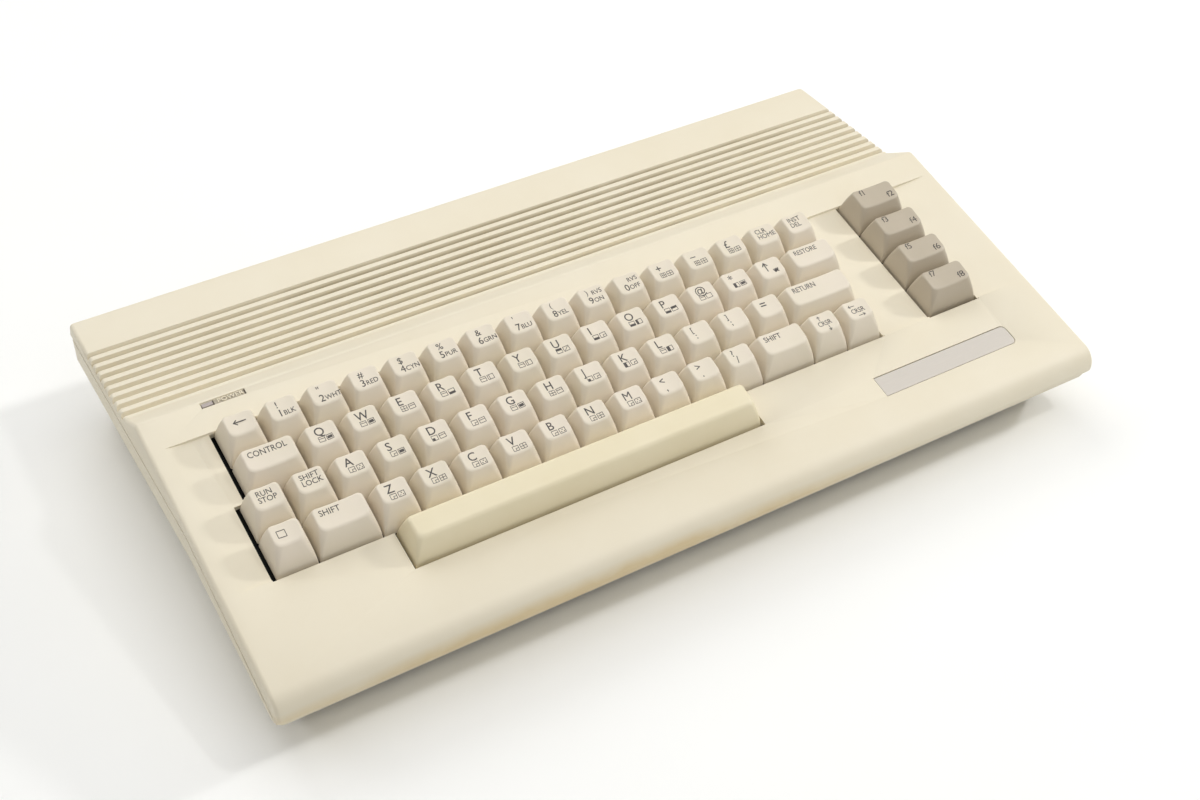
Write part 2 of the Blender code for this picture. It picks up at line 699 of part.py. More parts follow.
def build_upper_case(group, cutters, finish):
    """Upper case: a rounded wedge, hollow below, with its openings, grooves and recess."""
    item = add_object("upper_case", rounded_wedge("upper_case"), group, finish)
    inner = HALF_WIDTH - WALL
    cut(item, finish_mesh(prism("hollow", hollow_profile(), -inner, inner), "hollow_cut"), cutters)
    cut(item, recess_mesh(), cutters)
    for name, outline in (("main_cut", main_opening()), ("function_cut", function_opening())):
        body = prism(name, outline, -OVERRUN, OVERRUN, "Z")
        cut(item, finish_mesh(body, name), cutters, DECK_TO_WORLD)
    cut(item, groove_mesh(), cutters)
    seat = prism("plate_cut", plate_outline(PLATE_MARGIN), 0, OVERRUN, "Z")
    cut(item, finish_mesh(seat, "plate_cut"), cutters, plate_place(PLATE_THICKNESS + GAP + PLATE_SUNK))
    half_length = WINDOW_LENGTH / 2
    half_height = WINDOW_HEIGHT / 2
    window = box_mesh("window_cut", ((-half_length, -half_height, 0), (half_length, half_height, OVERRUN)))
    cut(item, window, cutters, window_place(WINDOW_DEPTH))
    lamp_low = (-half_length + GAP, -half_height + GAP, -OVERRUN)
    lamp_high = (-half_length + LAMP_LENGTH - GAP, half_height - GAP, OVERRUN)
    cut(item, box_mesh("lamp_cut", (lamp_low, lamp_high)), cutters, window_place(0))
    posts = bmesh.new()
    for x, y in post_places():
        low = (x, y, FRAME_TOP + GAP)
        high = (x, y, -WALL / 2)
        add_cylinder(posts, FRAME_POST_RADIUS, low, high, (0, 0, 1), POST_FACET_COUNT)
    join(item, finish_mesh(posts, "frame_posts"), cutters, DECK_TO_WORLD)
    bosses = bmesh.new()
    for x, y in screw_places():
        low = (x, y, BOSS_Z + GAP)
        high = (x, y, deck_z(y) - WALL)
        add_cylinder(bosses, BOSS_RADIUS, low, high, (0, 0, 1), POST_FACET_COUNT)
    join(item, finish_mesh(bosses, "upper_bosses"), cutters)
    holes = bmesh.new()
    for x, y in screw_places():
        low = (x, y, BOSS_Z - OVERRUN)
        high = (x, y, BOSS_Z + SCREW_GRIP + GAP)
        add_cylinder(holes, SCREW_RADIUS + GAP, low, high, (0, 0, 1), POST_FACET_COUNT)
    cut(item, finish_mesh(holes, "upper_holes"), cutters)
    return item


def plan_ring(inset, front_inset, rear_inset, radius, height):
    """Points round the case in plan; height gives the level at each place along the depth."""
    half = HALF_WIDTH - inset
    front = FRONT_Y + front_inset
    rear = REAR_Y - rear_inset
    bend = FRONT_Y + SEAM_BEND_FROM_FRONT
    plan = []
    plan += fillet((-half, bend), (-half, front), (half, front), radius, CORNER_STEPS)
    plan += fillet((-half, front), (half, front), (half, bend), radius, CORNER_STEPS)
    plan.append((half, bend))
    plan += fillet((half, bend), (half, rear), (-half, rear), radius, CORNER_STEPS)
    plan += fillet((half, rear), (-half, rear), (-half, bend), radius, CORNER_STEPS)
    plan.append((-half, bend))
    return [(x, y, height(y)) for x, y in plan]


def loft(rings, name, split=None):
    """Closed body through rings of equal counts; equal neighbours merge into one point."""
    shape = bmesh.new()
    loops = [[shape.verts.new(point) for point in ring] for ring in rings]
    for low, high in zip(loops, loops[1:]):
        count = len(low)
        for index in range(count):
            after = (index + 1) % count
            shape.faces.new((low[index], low[after], high[after], high[index]))
    for loop in (loops[0], loops[-1]):
        if split is None:
            shape.faces.new(loop)
        else:
            first, last = split
            shape.faces.new(loop[first:last + 1])
            shape.faces.new(loop[last:] + loop[:first + 1])
    bmesh.ops.remove_doubles(shape, verts=shape.verts, dist=GAP / 100)
    return finish_mesh(shape, name)


def lower_rings(wall, top_lift):
    """Rings of the lower case, or of the space inside it when a wall is given."""
    inset = LOWER_INSET + wall
    rear_inset = LOWER_INSET + wall
    front_inset = LOWER_INSET + wall + (FRONT_SHELF if wall == 0 else FRONT_SHELF + wall / 2)
    base = BASE_Z + (FLOOR if wall else 0)
    radius = max(PLAN_RADIUS - wall / 2, GAP)
    def top(y):
        return seam_z(y) - SEAM_GAP + top_lift
    def band(y):
        reach = (y - FRONT_Y) / SEAM_BEND_FROM_FRONT
        share = min(max(reach, 0), 1)
        return seam_z(y) - SEAM_GAP - LOWER_FRONT_BAND - (LOWER_BAND - LOWER_FRONT_BAND) * share
    def bottom(_):
        return base
    return [
        plan_ring(BASE_SIDE_INSET + wall, BASE_FRONT_INSET + wall, BASE_REAR_INSET + wall, radius, bottom),
        plan_ring(inset, front_inset, rear_inset, radius, band),
        plan_ring(inset, front_inset, rear_inset, radius, top),
    ]


def port_centres():
    """Places of the right-hand sockets: name, place along the depth, length and height."""
    return (
        ("joystick_port_1", CONTROL_FRONT_Y, CONTROL_LENGTH, CONTROL_HEIGHT),
        ("joystick_port_2", CONTROL_REAR_Y, CONTROL_LENGTH, CONTROL_HEIGHT),
        ("power_switch_housing", SWITCH_Y, SWITCH_LENGTH, SWITCH_HEIGHT),
        ("power_socket", POWER_Y, DIN_SIDE, DIN_HEIGHT),
    )


def side_face_x():
    """Plane of the right-hand sockets' outer faces."""
    return HALF_WIDTH - BASE_SIDE_INSET + PORT_REACH


def rear_face_y():
    """Plane of the rear sockets' outer faces."""
    return REAR_Y - BASE_REAR_INSET + REAR_REACH / 2


def board_top():
    """Upper face of the main board."""
    return MAIN_Z + BOARD_THICKNESS


def rear_places():
    """Rear cut-outs: centre, width, and lowest and highest level."""
    seat = board_top() + GAP
    tongue = (MAIN_Z + BOARD_THICKNESS / 2 - EDGE_SLOT_HEIGHT / 2, MAIN_Z + BOARD_THICKNESS / 2 + EDGE_SLOT_HEIGHT / 2)
    edge = 2 * EDGE_SLOT_MARGIN
    return (
        (USER_CENTRE_SHARE * CASE_WIDTH, USER_SLOT_WIDTH + edge, tongue[0], tongue[1]),
        (TAPE_CENTRE_SHARE * CASE_WIDTH, TAPE_SLOT_WIDTH + edge, tongue[0], tongue[1]),
        (SERIAL_CENTRE_SHARE * CASE_WIDTH, DIN_SIDE, seat, seat + DIN_HEIGHT),
        (AV_CENTRE_SHARE * CASE_WIDTH, DIN_SIDE, seat, seat + DIN_HEIGHT),
        (MODULATOR_CENTRE_SHARE * CASE_WIDTH, MODULATOR_WIDTH, seat, seat + MODULATOR_HEIGHT),
        (CARTRIDGE_CENTRE_SHARE * CASE_WIDTH, CARTRIDGE_WIDTH, seat, seat + CARTRIDGE_HEIGHT),
    )


def main_board_box():
    """Plan limits of the main board."""
    right = side_face_x() - CONTROL_DEPTH + PORT_REACH
    left = -HALF_WIDTH + MAIN_SIDE_GAP
    rear = REAR_Y - MAIN_REAR_GAP
    front = rear - MAIN_DEPTH
    return left, right, front, rear


def board_post_places():
    """Places of the posts that carry the main board."""
    left, right, front, rear = main_board_box()
    inset = 2 * POST_RADIUS
    return [(x, y) for x in (left + inset, 0, right - inset) for y in (front + inset, rear - 2 * inset)]


def build_lower_case(group, cutters, finish):
    """Lower case: a tapered tray with cut-outs for the sockets, posts and screw bosses."""
    count = len(plan_ring(0, 0, 0, PLAN_RADIUS, seam_z))
    right_bend = 2 * (CORNER_STEPS + 1)
    split = (right_bend, count - 1)
    item = add_object("lower_case", loft(lower_rings(0, 0), "lower_case", split), group, finish)
    cut(item, loft(lower_rings(WALL, OVERRUN), "tray_cut", split), cutters)
    boxes = []
    seat = board_top() + GAP
    for _, y, length, height in port_centres():
        half = length / 2 + PORT_GAP
        low = (HALF_WIDTH - BASE_SIDE_INSET - WALL - OVERRUN / 2, y - half, seat - PORT_GAP)
        high = (HALF_WIDTH + OVERRUN, y + half, seat + height + PORT_GAP)
        boxes.append((low, high))
    for x, width, bottom, top in rear_places():
        half = width / 2 + PORT_GAP
        low = (x - half, REAR_Y - BASE_REAR_INSET - WALL - OVERRUN / 4, bottom - PORT_GAP)
        high = (x + half, REAR_Y + OVERRUN, top + PORT_GAP)
        boxes.append((low, high))
    for index in range(VENT_COUNT):
        x = (index - (VENT_COUNT - 1) / 2) * VENT_PITCH
        y = REAR_Y - MAIN_REAR_GAP - MAIN_DEPTH + VENT_FROM_MAIN_FRONT
        low = (x - VENT_WIDTH / 2, y - VENT_LENGTH / 2, BASE_Z - OVERRUN / 2)
        high = (x + VENT_WIDTH / 2, y + VENT_LENGTH / 2, BASE_Z + FLOOR + WALL)
        boxes.append((low, high))
    cut(item, box_mesh("lower_openings_cut", *boxes), cutters)
    posts = bmesh.new()
    for x, y in board_post_places():
        low = (x, y, BASE_Z + FLOOR / 2)
        add_cylinder(posts, POST_RADIUS, low, (x, y, MAIN_Z - GAP), (0, 0, 1), POST_FACET_COUNT)
    for x, y in screw_places():
        low = (x, y, BASE_Z + FLOOR / 2)
        add_cylinder(posts, BOSS_RADIUS, low, (x, y, BOSS_Z), (0, 0, 1), POST_FACET_COUNT)
    join(item, finish_mesh(posts, "lower_posts"), cutters)
    holes = bmesh.new()
    for x, y in screw_places():
        add_cylinder(
            holes,
            SCREW_RADIUS + GAP,
            (x, y, BASE_Z),
            (x, y, BOSS_Z + OVERRUN),
            (0, 0, 1),
            POST_FACET_COUNT,
        )
    cut(item, finish_mesh(holes, "lower_holes"), cutters)
    sinks = bmesh.new()
    for x, y in screw_places():
        high = (x, y, BASE_Z + SCREW_HEAD + GAP)
        low = (x, y, BASE_Z - OVERRUN)
        add_cylinder(sinks, SCREW_HEAD_RADIUS + GAP, low, high, (0, 0, 1), POST_FACET_COUNT)
    cut(item, finish_mesh(sinks, "lower_sinks"), cutters)
    return item


def rectangle(left, right, front, rear, z, corner=0, rear_z=None):
    """Ring of twelve points, three to a corner; with no radius each three fall together."""
    back = z if rear_z is None else rear_z
    ring = []
    spots = ((left, front, 1, 1, z), (right, front, -1, 1, z), (right, rear, -1, -1, back), (left, rear, 1, -1, back))
    for index, (x, y, inward_x, inward_y, level) in enumerate(spots):
        centre_x = x + inward_x * corner
        centre_y = y + inward_y * corner
        start = math.pi + index * math.pi / 2
        for step in range(3):
            angle = start + step * math.pi / 4
            ring.append((centre_x + corner * math.cos(angle), centre_y + corner * math.sin(angle), level))
    return ring


def cap_mesh(name, units, side_inset, stem_x=0):
    """Hollow keycap with its stem, standing on the keyboard plane, its middle at the origin."""
    half_x = (units * PITCH - KEY_GAP) / 2
    half_y = (PITCH - KEY_GAP) / 2
    stem = STEM_SIDE / 2
    ceiling = CAP_BASE_Z + CAP_CAVITY
    share = CAP_CAVITY / (CAP_TOP_Z - CAP_BASE_Z)
    side = CAP_WALL + side_inset * share
    front = CAP_WALL + CAP_FRONT_INSET * share
    rear = CAP_WALL + CAP_REAR_INSET * share
    rings = [
        rectangle(stem_x - stem, stem_x + stem, -stem, stem, STEM_BOTTOM),
        rectangle(stem_x - stem, stem_x + stem, -stem, stem, ceiling),
        rectangle(-half_x + side, half_x - side, -half_y + front, half_y - rear, ceiling),
        rectangle(
            -half_x + CAP_WALL,
            half_x - CAP_WALL,
            -half_y + CAP_WALL,
            half_y - CAP_WALL,
            CAP_BASE_Z,
        ),
        rectangle(-half_x, half_x, -half_y, half_y, CAP_BASE_Z),
    ]
    for height, lean in CAP_BULGE_SHARES:
        rings.append(
            rectangle(
                -half_x + side_inset * lean,
                half_x - side_inset * lean,
                -half_y + CAP_FRONT_INSET * lean,
                half_y - CAP_REAR_INSET * lean,
                CAP_BASE_Z + (CAP_TOP_Z - CAP_BASE_Z) * height,
                CAP_CORNER * lean * lean if lean > height / 2 and height > 0.5 else 0,
                CAP_BASE_Z + (CAP_TOP_Z + CAP_TOP_RISE - CAP_BASE_Z) * height,
            )
        )
    rings.append(
        rectangle(
            -half_x + side_inset,
            half_x - side_inset,
            -half_y + CAP_FRONT_INSET,
            half_y - CAP_REAR_INSET,
            CAP_TOP_Z,
            CAP_CORNER,
            CAP_TOP_Z + CAP_TOP_RISE,
        )
    )
    shape = bmesh.new()
    body = loft(rings, name)
    shape.from_mesh(body)
    bpy.data.meshes.remove(body)
    top = max(shape.faces, key=lambda face: face.calc_center_median().z)
    centre = bmesh.ops.poke(shape, faces=[top])["verts"]
    bmesh.ops.translate(shape, vec=(0, 0, -CAP_DISH), verts=centre)
    return finish_mesh(shape, name)


def key_matrix(left, units, row):
    """Place of a key whose left edge, width and row are given in units."""
    local = Matrix.Translation((unit_x(left + units / 2), (row + 0.5) * PITCH, 0))
    return DECK_TO_WORLD @ local


def build_keys(group, cutters, caps, bar_finish, grey):
    """Single keys, the function keys, the space bar and the three joined banks."""
    meshes = {}
    singles = list(KEY_PLACE_SHARES)
    for index, letter in enumerate(HOME_ROW_NAMES):
        singles.append(("key_" + letter, HOME_ROW_LEFT + index, 1, HOME_ROW))
    for name, left, units, row in singles:
        if units not in meshes:
            meshes[units] = cap_mesh("cap_%g" % units, units, CAP_SIDE_INSET)
        add_object(name, meshes[units], group, caps, key_matrix(left, units, row))
    function_mesh = cap_mesh("cap_function", FUNCTION_WIDTH, CAP_SIDE_INSET)
    for row, name in enumerate(FUNCTION_NAMES):
        place = key_matrix(FUNCTION_LEFT, FUNCTION_WIDTH, row)
        add_object(name, function_mesh, group, grey, place)
    bar = cap_mesh("cap_bar", BAR_WIDTH, BAR_SIDE_INSET)
    place = key_matrix(BAR_LEFT, BAR_WIDTH, BAR_ROW)
    item = add_object("key_space_bar", bar, group, bar_finish, place)
    stem = STEM_SIDE / 2
    top = CAP_BASE_Z + CAP_CAVITY + CAP_WALL
    guides = []
    for side in (-1, 1):
        x = side * BAR_STEM_UNITS * PITCH
        guides.append(((x - stem, -stem, STEM_BOTTOM), (x + stem, stem, top)))
    join(item, box_mesh("bar_guides", *guides), cutters, place)
    for name, left, count, row in BANK_PLACE_SHARES:
        shape = bmesh.new()
        webs = []
        for index in range(count):
            one = meshes[1].copy()
            offset = (index - (count - 1) / 2) * PITCH
            one.transform(Matrix.Translation((offset, 0, 0)))
            shape.from_mesh(one)
            bpy.data.meshes.remove(one)
            if index:
                seam = offset - PITCH / 2
                reach = KEY_GAP / 2 + WEB_GRIP
                half = WEB_LENGTH / 2
                low = (seam - reach, -half, CAP_BASE_Z)
                high = (seam + reach, half, CAP_BASE_Z + WEB_HEIGHT)
                webs.append((low, high))
        place = key_matrix(left, count, row)
        bank = add_object(name, finish_mesh(shape, name), group, caps, place)
        join(bank, box_mesh(name + "_webs", *webs), cutters, place)


def stem_places():
    """Middle of every stem on the keyboard plane."""
    places = []
    for _, left, units, row in KEY_PLACE_SHARES:
        places.append((unit_x(left + units / 2), (row + 0.5) * PITCH))
    for index in range(len(HOME_ROW_NAMES)):
        places.append((unit_x(HOME_ROW_LEFT + index + 0.5), (HOME_ROW + 0.5) * PITCH))
    for row in range(ROW_COUNT):
        places.append((unit_x(FUNCTION_LEFT + FUNCTION_WIDTH / 2), (row + 0.5) * PITCH))
    for _, left, count, row in BANK_PLACE_SHARES:
        for index in range(count):
            places.append((unit_x(left + index + 0.5), (row + 0.5) * PITCH))
    for share in (-1, 0, 1):
        x = unit_x(BAR_LEFT + BAR_WIDTH / 2) + share * BAR_STEM_UNITS * PITCH
        places.append((x, (BAR_ROW + 0.5) * PITCH))
    return places


def build_keyboard(group, cutters, steel, board_finish, wire_finish, ribbon_finish):
    """Frame with a guide hole for each stem, circuit board, stabiliser wire and ribbon cable."""
    left, right, front, rear = frame_box()
    skirt_bottom = BOARD_TOP + GAP
    body = box_mesh("keyboard_frame", ((left, front, skirt_bottom), (right, rear, FRAME_TOP)))
    frame = add_object("keyboard_frame", body, group, steel, DECK_TO_WORLD)
    low = (left + FRAME_SKIRT, front + FRAME_SKIRT, skirt_bottom - OVERRUN)
    high = (right - FRAME_SKIRT, rear - FRAME_SKIRT, FRAME_PLATE_BOTTOM)
    cut(frame, box_mesh("frame_hollow_cut", (low, high)), cutters, DECK_TO_WORLD)
    half = STEM_SIDE / 2 + STEM_GAP
    holes = []
    for x, y in stem_places():
        holes.append(((x - half, y - half, FRAME_PLATE_BOTTOM - WALL), (x + half, y + half, FRAME_TOP + WALL)))
    cut(frame, box_mesh("stem_holes_cut", *holes), cutters, DECK_TO_WORLD)
    board_low = (left, front, BOARD_TOP - BOARD_THICKNESS)
    board = box_mesh("keyboard_board", (board_low, (right, rear, BOARD_TOP)))
    add_object("keyboard_board", board, group, board_finish, DECK_TO_WORLD)
    build_wire(group, wire_finish)
    build_ribbon(group, ribbon_finish)


def build_wire(group, finish):
    """Bent wire that keeps the space bar level, lying on the frame under the bar."""
    curve = bpy.data.curves.new("bar_stabiliser", "CURVE")
    curve.dimensions = "3D"
    curve.bevel_depth = WIRE_RADIUS
    curve.bevel_resolution = 1
    curve.use_fill_caps = True
    middle = unit_x(BAR_LEFT + BAR_WIDTH / 2)
    y = (BAR_ROW + 0.5) * PITCH - STEM_SIDE / 2 - STEM_GAP - 2 * WIRE_RADIUS
    z = FRAME_TOP + GAP + WIRE_RADIUS
    half = WIRE_HALF_SPAN
    corner = 2 * WIRE_RADIUS
    path = [
        (middle - half, y + WIRE_ARM),
        (middle - half, y + corner),
        (middle - half + corner, y),
        (middle + half - corner, y),
        (middle + half, y + corner),
        (middle + half, y + WIRE_ARM),
    ]
    line = curve.splines.new("POLY")
    line.points.add(len(path) - 1)
    for point, (x, along) in zip(line.points, path):
        point.co = (x, along, z, 1)
    item = bpy.data.objects.new("bar_stabiliser", curve)
    group.objects.link(item)
    item.matrix_world = DECK_TO_WORLD
    curve.materials.append(finish)


def ribbon_start():
    """Upper front corner of the ribbon cable, just under the keyboard board."""
    left, _, _, rear = frame_box()
    level = BOARD_TOP - BOARD_THICKNESS - GAP
    return DECK_TO_WORLD @ Vector((left + RIBBON_FROM_LEFT, rear - RIBBON_RUN, level))


def build_ribbon(group, finish):
    """Flat cable from the keyboard board down to the main board."""
    start = ribbon_start()
    end_z = board_top() + GAP
    lean = RIBBON_THICKNESS
    outline = [
        (start.y, start.z - RIBBON_THICKNESS * math.tan(WELL_ANGLE)),
        (start.y, end_z),
        (start.y + lean, end_z),
        (start.y + lean, start.z),
    ]
    shape = prism("keyboard_ribbon", outline, start.x, start.x + RIBBON_WIDTH)
    add_object("keyboard_ribbon", finish_mesh(shape, "keyboard_ribbon"), group, finish)


def build_plate_and_lamp(group, finish, lens):
    """Bare name plate and the lens of the power lamp, both on the deck."""
    body = prism("name_plate", plate_outline(0), 0, PLATE_THICKNESS, "Z")
    mesh = finish_mesh(body, "name_plate")
    add_object("name_plate", mesh, group, finish, plate_place(PLATE_THICKNESS + PLATE_SUNK))
    half_length = WINDOW_LENGTH / 2
    half_height = WINDOW_HEIGHT / 2
    low = (-half_length + 2 * GAP, -half_height + 2 * GAP, -LAMP_DEPTH)
    high = (-half_length + LAMP_LENGTH - 2 * GAP, half_height - 2 * GAP, -LAMP_SUNK)
    add_object("power_lamp", box_mesh("power_lamp", (low, high)), group, lens, window_place(0))


def build_main_board(group, cutters, board_finish, steel):
    """Main board with its edge tongues and chips, and the folded shield over it."""
    left, right, front, rear = main_board_box()
    item = add_object(
        "main_board",
        box_mesh("main_board", ((left, front, MAIN_Z), (right, rear, board_top()))),
        group,
        board_finish,
    )
    parts = []
    for share, width in ((USER_CENTRE_SHARE, USER_SLOT_WIDTH), (TAPE_CENTRE_SHARE, TAPE_SLOT_WIDTH)):
        x = share * CASE_WIDTH
        low = (x - width / 2, rear - WALL, MAIN_Z)
        parts.append((low, (x + width / 2, rear + EDGE_TONGUE, board_top())))
    join(item, box_mesh("edge_tongues", *parts), cutters)
    chips = []
    shield_rear = REAR_Y - SHIELD_FROM_REAR
    shield_front = ribbon_start().y + RIBBON_THICKNESS + SHIELD_BEHIND_RIBBON
    chip_y = (shield_front + shield_rear) / 2
    for index in range(CHIP_COUNT):
        x = SHIELD_SHIFT + (index - (CHIP_COUNT - 1) / 2) * CHIP_PITCH
        low = (x - CHIP_LENGTH / 2, chip_y - CHIP_WIDTH / 2, board_top() - BOARD_THICKNESS / 2)
        high = (x + CHIP_LENGTH / 2, chip_y + CHIP_WIDTH / 2, board_top() + CHIP_HEIGHT)
        chips.append((low, high))
    join(item, box_mesh("chips", *chips), cutters)
    half = SHIELD_LENGTH / 2
    shield_low = (SHIELD_SHIFT - half, shield_front, board_top() + GAP)
    shield_high = (SHIELD_SHIFT + half, shield_rear, board_top() + GAP + SHIELD_HEIGHT)
    shield = add_object("board_shield", box_mesh("board_shield", (shield_low, shield_high)), group, steel)
    sheet = Vector((SHIELD_SHEET, SHIELD_SHEET, 0))
    low = Vector(shield_low) + sheet - Vector((0, 0, OVERRUN))
    high = Vector(shield_high) - sheet - Vector((0, 0, SHIELD_SHEET))
    cut(shield, box_mesh("shield_cut", (low, high)), cutters)


def build_side_sockets(group, cutters, black, steel):
    """Control ports, power switch with its rocker, and power socket on the right."""
    face = side_face_x()
    seat = board_top() + GAP
    for name, y, length, height in port_centres():
        depth = {
            "power_switch_housing": SWITCH_DEPTH,
            "power_socket": DIN_DEPTH,
        }.get(name, CONTROL_DEPTH)
        low = (face - depth, y - length / 2, seat)
        high = (face, y + length / 2, seat + height)
        finish = steel if name.startswith("joystick") else black
        item = add_object(name, box_mesh(name, (low, high)), group, finish)
        z = seat + height / 2
        if name.startswith("joystick"):
            cut(item, control_mouth(name, y, z), cutters)
        elif name == "power_socket":
            cut(item, round_mouth(name + "_cut", (face - DIN_MOUTH, y, z), (face + WALL, y, z), (1, 0, 0)), cutters)
        else:
            half_y = length / 2 - SWITCH_WALL
            half_z = height / 2 - SWITCH_WALL
            pocket_low = (face - depth + SWITCH_WALL, y - half_y, z - half_z)
            pocket_high = (face + OVERRUN, y + half_y, z + half_z)
            cut(item, box_mesh("switch_cut", (pocket_low, pocket_high)), cutters)
            build_rocker(group, (face - ROCKER_THICKNESS, y, z), half_y - GAP, half_z - GAP, black)


def control_mouth(name, y, z):
    """Cutter for the D-shaped mouth of a control port."""
    face = side_face_x()
    half = CONTROL_MOUTH_LENGTH / 2
    tall = CONTROL_MOUTH_HEIGHT / 2
    lean = tall / 2
    outline = [
        (y - half, z + tall),
        (y - half + lean, z - tall),
        (y + half - lean, z - tall),
        (y + half, z + tall),
    ]
    shape = prism(name + "_cut", outline, face - CONTROL_MOUTH_DEPTH, face + WALL)
    return finish_mesh(shape, name + "_cut")


def round_mouth(name, low, high, axis):
    """Cutter for the round mouth of a socket."""
    shape = bmesh.new()
    add_cylinder(shape, DIN_RADIUS, low, high, axis, DIN_FACET_COUNT)
    return finish_mesh(shape, name)


def build_rocker(group, pivot, half_y, half_z, finish):
    """Rocker of the power switch, its origin on its pivot, its face a shallow V."""
    proud = ROCKER_THICKNESS + ROCKER_PROUD
    edge = half_y - proud * math.tan(ROCKER_ANGLE)
    outline = [
        (0, -half_y + GAP),
        (proud, -edge),
        (ROCKER_THICKNESS, 0),
        (proud, edge),
        (0, half_y - GAP),
        (-WALL, 0),
    ]
    shape = prism("power_rocker", outline, -half_z, half_z, "Z")
    item = add_object("power_rocker", finish_mesh(shape, "power_rocker"), group, finish)
    item.location = pivot
    item.rotation_euler.z = -ROCKER_TILT


def build_rear_sockets(group, cutters, black, steel):
    """Serial and picture sockets, modulator box and cartridge port along the rear."""
    face = rear_face_y()
    seat = board_top() + GAP
    for name, share in (("serial_socket", SERIAL_CENTRE_SHARE), ("av_socket", AV_CENTRE_SHARE)):
        x = share * CASE_WIDTH
        low = (x - DIN_SIDE / 2, face - DIN_DEPTH, seat)
        high = (x + DIN_SIDE / 2, face, seat + DIN_HEIGHT)
        item = add_object(name, box_mesh(name, (low, high)), group, black)
        z = seat + DIN_HEIGHT / 2
        mouth = round_mouth(name + "_cut", (x, face - DIN_MOUTH, z), (x, face + WALL, z), (0, 1, 0))
        cut(item, mouth, cutters)
    x = MODULATOR_CENTRE_SHARE * CASE_WIDTH
    low = (x - MODULATOR_WIDTH / 2, face - MODULATOR_DEPTH, seat)
    high = (x + MODULATOR_WIDTH / 2, face - WALL, seat + MODULATOR_HEIGHT)
    item = add_object("tv_modulator", box_mesh("tv_modulator", (low, high)), group, steel)
    jack = bmesh.new()
    jack_x = x + MODULATOR_WIDTH / 4
    z = seat + MODULATOR_HEIGHT / 2
    start = (jack_x, face - 2 * WALL, z)
    end = (jack_x, face - WALL + MODULATOR_JACK_LENGTH, z)
    add_cylinder(jack, MODULATOR_JACK_RADIUS, start, end, (0, 1, 0), POST_FACET_COUNT)
    join(item, finish_mesh(jack, "modulator_jack"), cutters)
    x = CARTRIDGE_CENTRE_SHARE * CASE_WIDTH
    low = (x - CARTRIDGE_WIDTH / 2, face - CARTRIDGE_DEPTH, seat)
    high = (x + CARTRIDGE_WIDTH / 2, face, seat + CARTRIDGE_HEIGHT)
    item = add_object("cartridge_port", box_mesh("cartridge_port", (low, high)), group, black)
    z = seat + CARTRIDGE_HEIGHT / 2
    half_width = CARTRIDGE_SLOT_WIDTH / 2
    half_height = CARTRIDGE_SLOT_HEIGHT / 2
    slot_low = (x - half_width, face - CARTRIDGE_SLOT_DEPTH, z - half_height)
    slot_high = (x + half_width, face + WALL, z + half_height)
    cut(item, box_mesh("cartridge_cut", (slot_low, slot_high)), cutters)


def turned(name, profile, place, sides, group, finish):
    """Turned piece: a profile from its top down its outer side, swept round by Screw."""
    mesh = bpy.data.meshes.new(name)
    points = [(radius, 0, z) for radius, z in profile]
    lines = [(index, index + 1) for index in range(len(points) - 1)]
    mesh.from_pydata(points, lines, [])
    item = add_object(name, mesh, group, finish)
    item.location = place
    spin = item.modifiers.new("turn", "SCREW")
    spin.steps = sides
    spin.render_steps = sides
    spin.use_merge_vertices = True
    spin.merge_threshold = GAP / 10


def build_feet_and_screws(group, rubber, steel):
    """Four feet under the base and the three screws that hold the halves together."""
    height = BASE_Z - GAP
    foot = [
        (0, height),
        (FOOT_RADIUS, height),
        (FOOT_RADIUS, FOOT_BEVEL),
        (FOOT_RADIUS - FOOT_BEVEL, 0),
        (0, 0),
    ]
    x = HALF_WIDTH - FOOT_SIDE_INSET
    places = (
        ("foot_front_left", -x, FRONT_Y + FOOT_FRONT),
        ("foot_front_right", x, FRONT_Y + FOOT_FRONT),
        ("foot_rear_left", -x, REAR_Y - FOOT_REAR),
        ("foot_rear_right", x, REAR_Y - FOOT_REAR),
    )
    for name, across, along in places:
        turned(name, foot, (across, along, 0), POST_FACET_COUNT * 2, group, rubber)
    top = BOSS_Z + SCREW_GRIP - BASE_Z
    screw = [
        (0, top),
        (SCREW_RADIUS, top - SCREW_RADIUS),
        (SCREW_RADIUS, SCREW_HEAD),
        (SCREW_HEAD_RADIUS, SCREW_HEAD),
        (SCREW_HEAD_RADIUS, 0),
        (0, 0),
    ]
    for index, (across, along) in enumerate(screw_places()):
        turned("case_screw_%d" % (index + 1), screw, (across, along, BASE_Z), SCREW_FACET_COUNT, group, steel)


def main():
    """Build the whole computer."""
    clear_scene()
    group = new_collection("home_computer")
    cutters = new_collection("cutters")
    case = material("case_plastic", CASE_COLOUR, 0.45, 0)
    caps = material("keycap_plastic", CAP_COLOUR, 0.42, 0)
    bar = material("space_bar_plastic", BAR_COLOUR, 0.40, 0)
    grey = material("function_key_plastic", FUNCTION_COLOUR, 0.42, 0)
    plate = material("name_plate_foil", PLATE_COLOUR, 0.35, 0.3)
    lens = material("lamp_lens", LAMP_COLOUR, 0.2, 0)
    steel = material("plated_steel", METAL_COLOUR, 0.35, 1)
    black = material("black_plastic", BLACK_COLOUR, 0.5, 0)
    board = material("circuit_board", BOARD_COLOUR, 0.5, 0)
    ribbon = material("ribbon_cable", GREY_COLOUR, 0.6, 0)
    rubber = material("rubber", BLACK_COLOUR, 0.8, 0)
    build_upper_case(group, cutters, case)
    build_lower_case(group, cutters, case)
    build_keys(group, cutters, caps, bar, grey)
    build_keyboard(group, cutters, steel, board, steel, ribbon)
    build_plate_and_lamp(group, plate, lens)
    build_main_board(group, cutters, board, steel)
    build_side_sockets(group, cutters, black, steel)
    build_rear_sockets(group, cutters, black, steel)
    build_feet_and_screws(group, rubber, steel)


main()
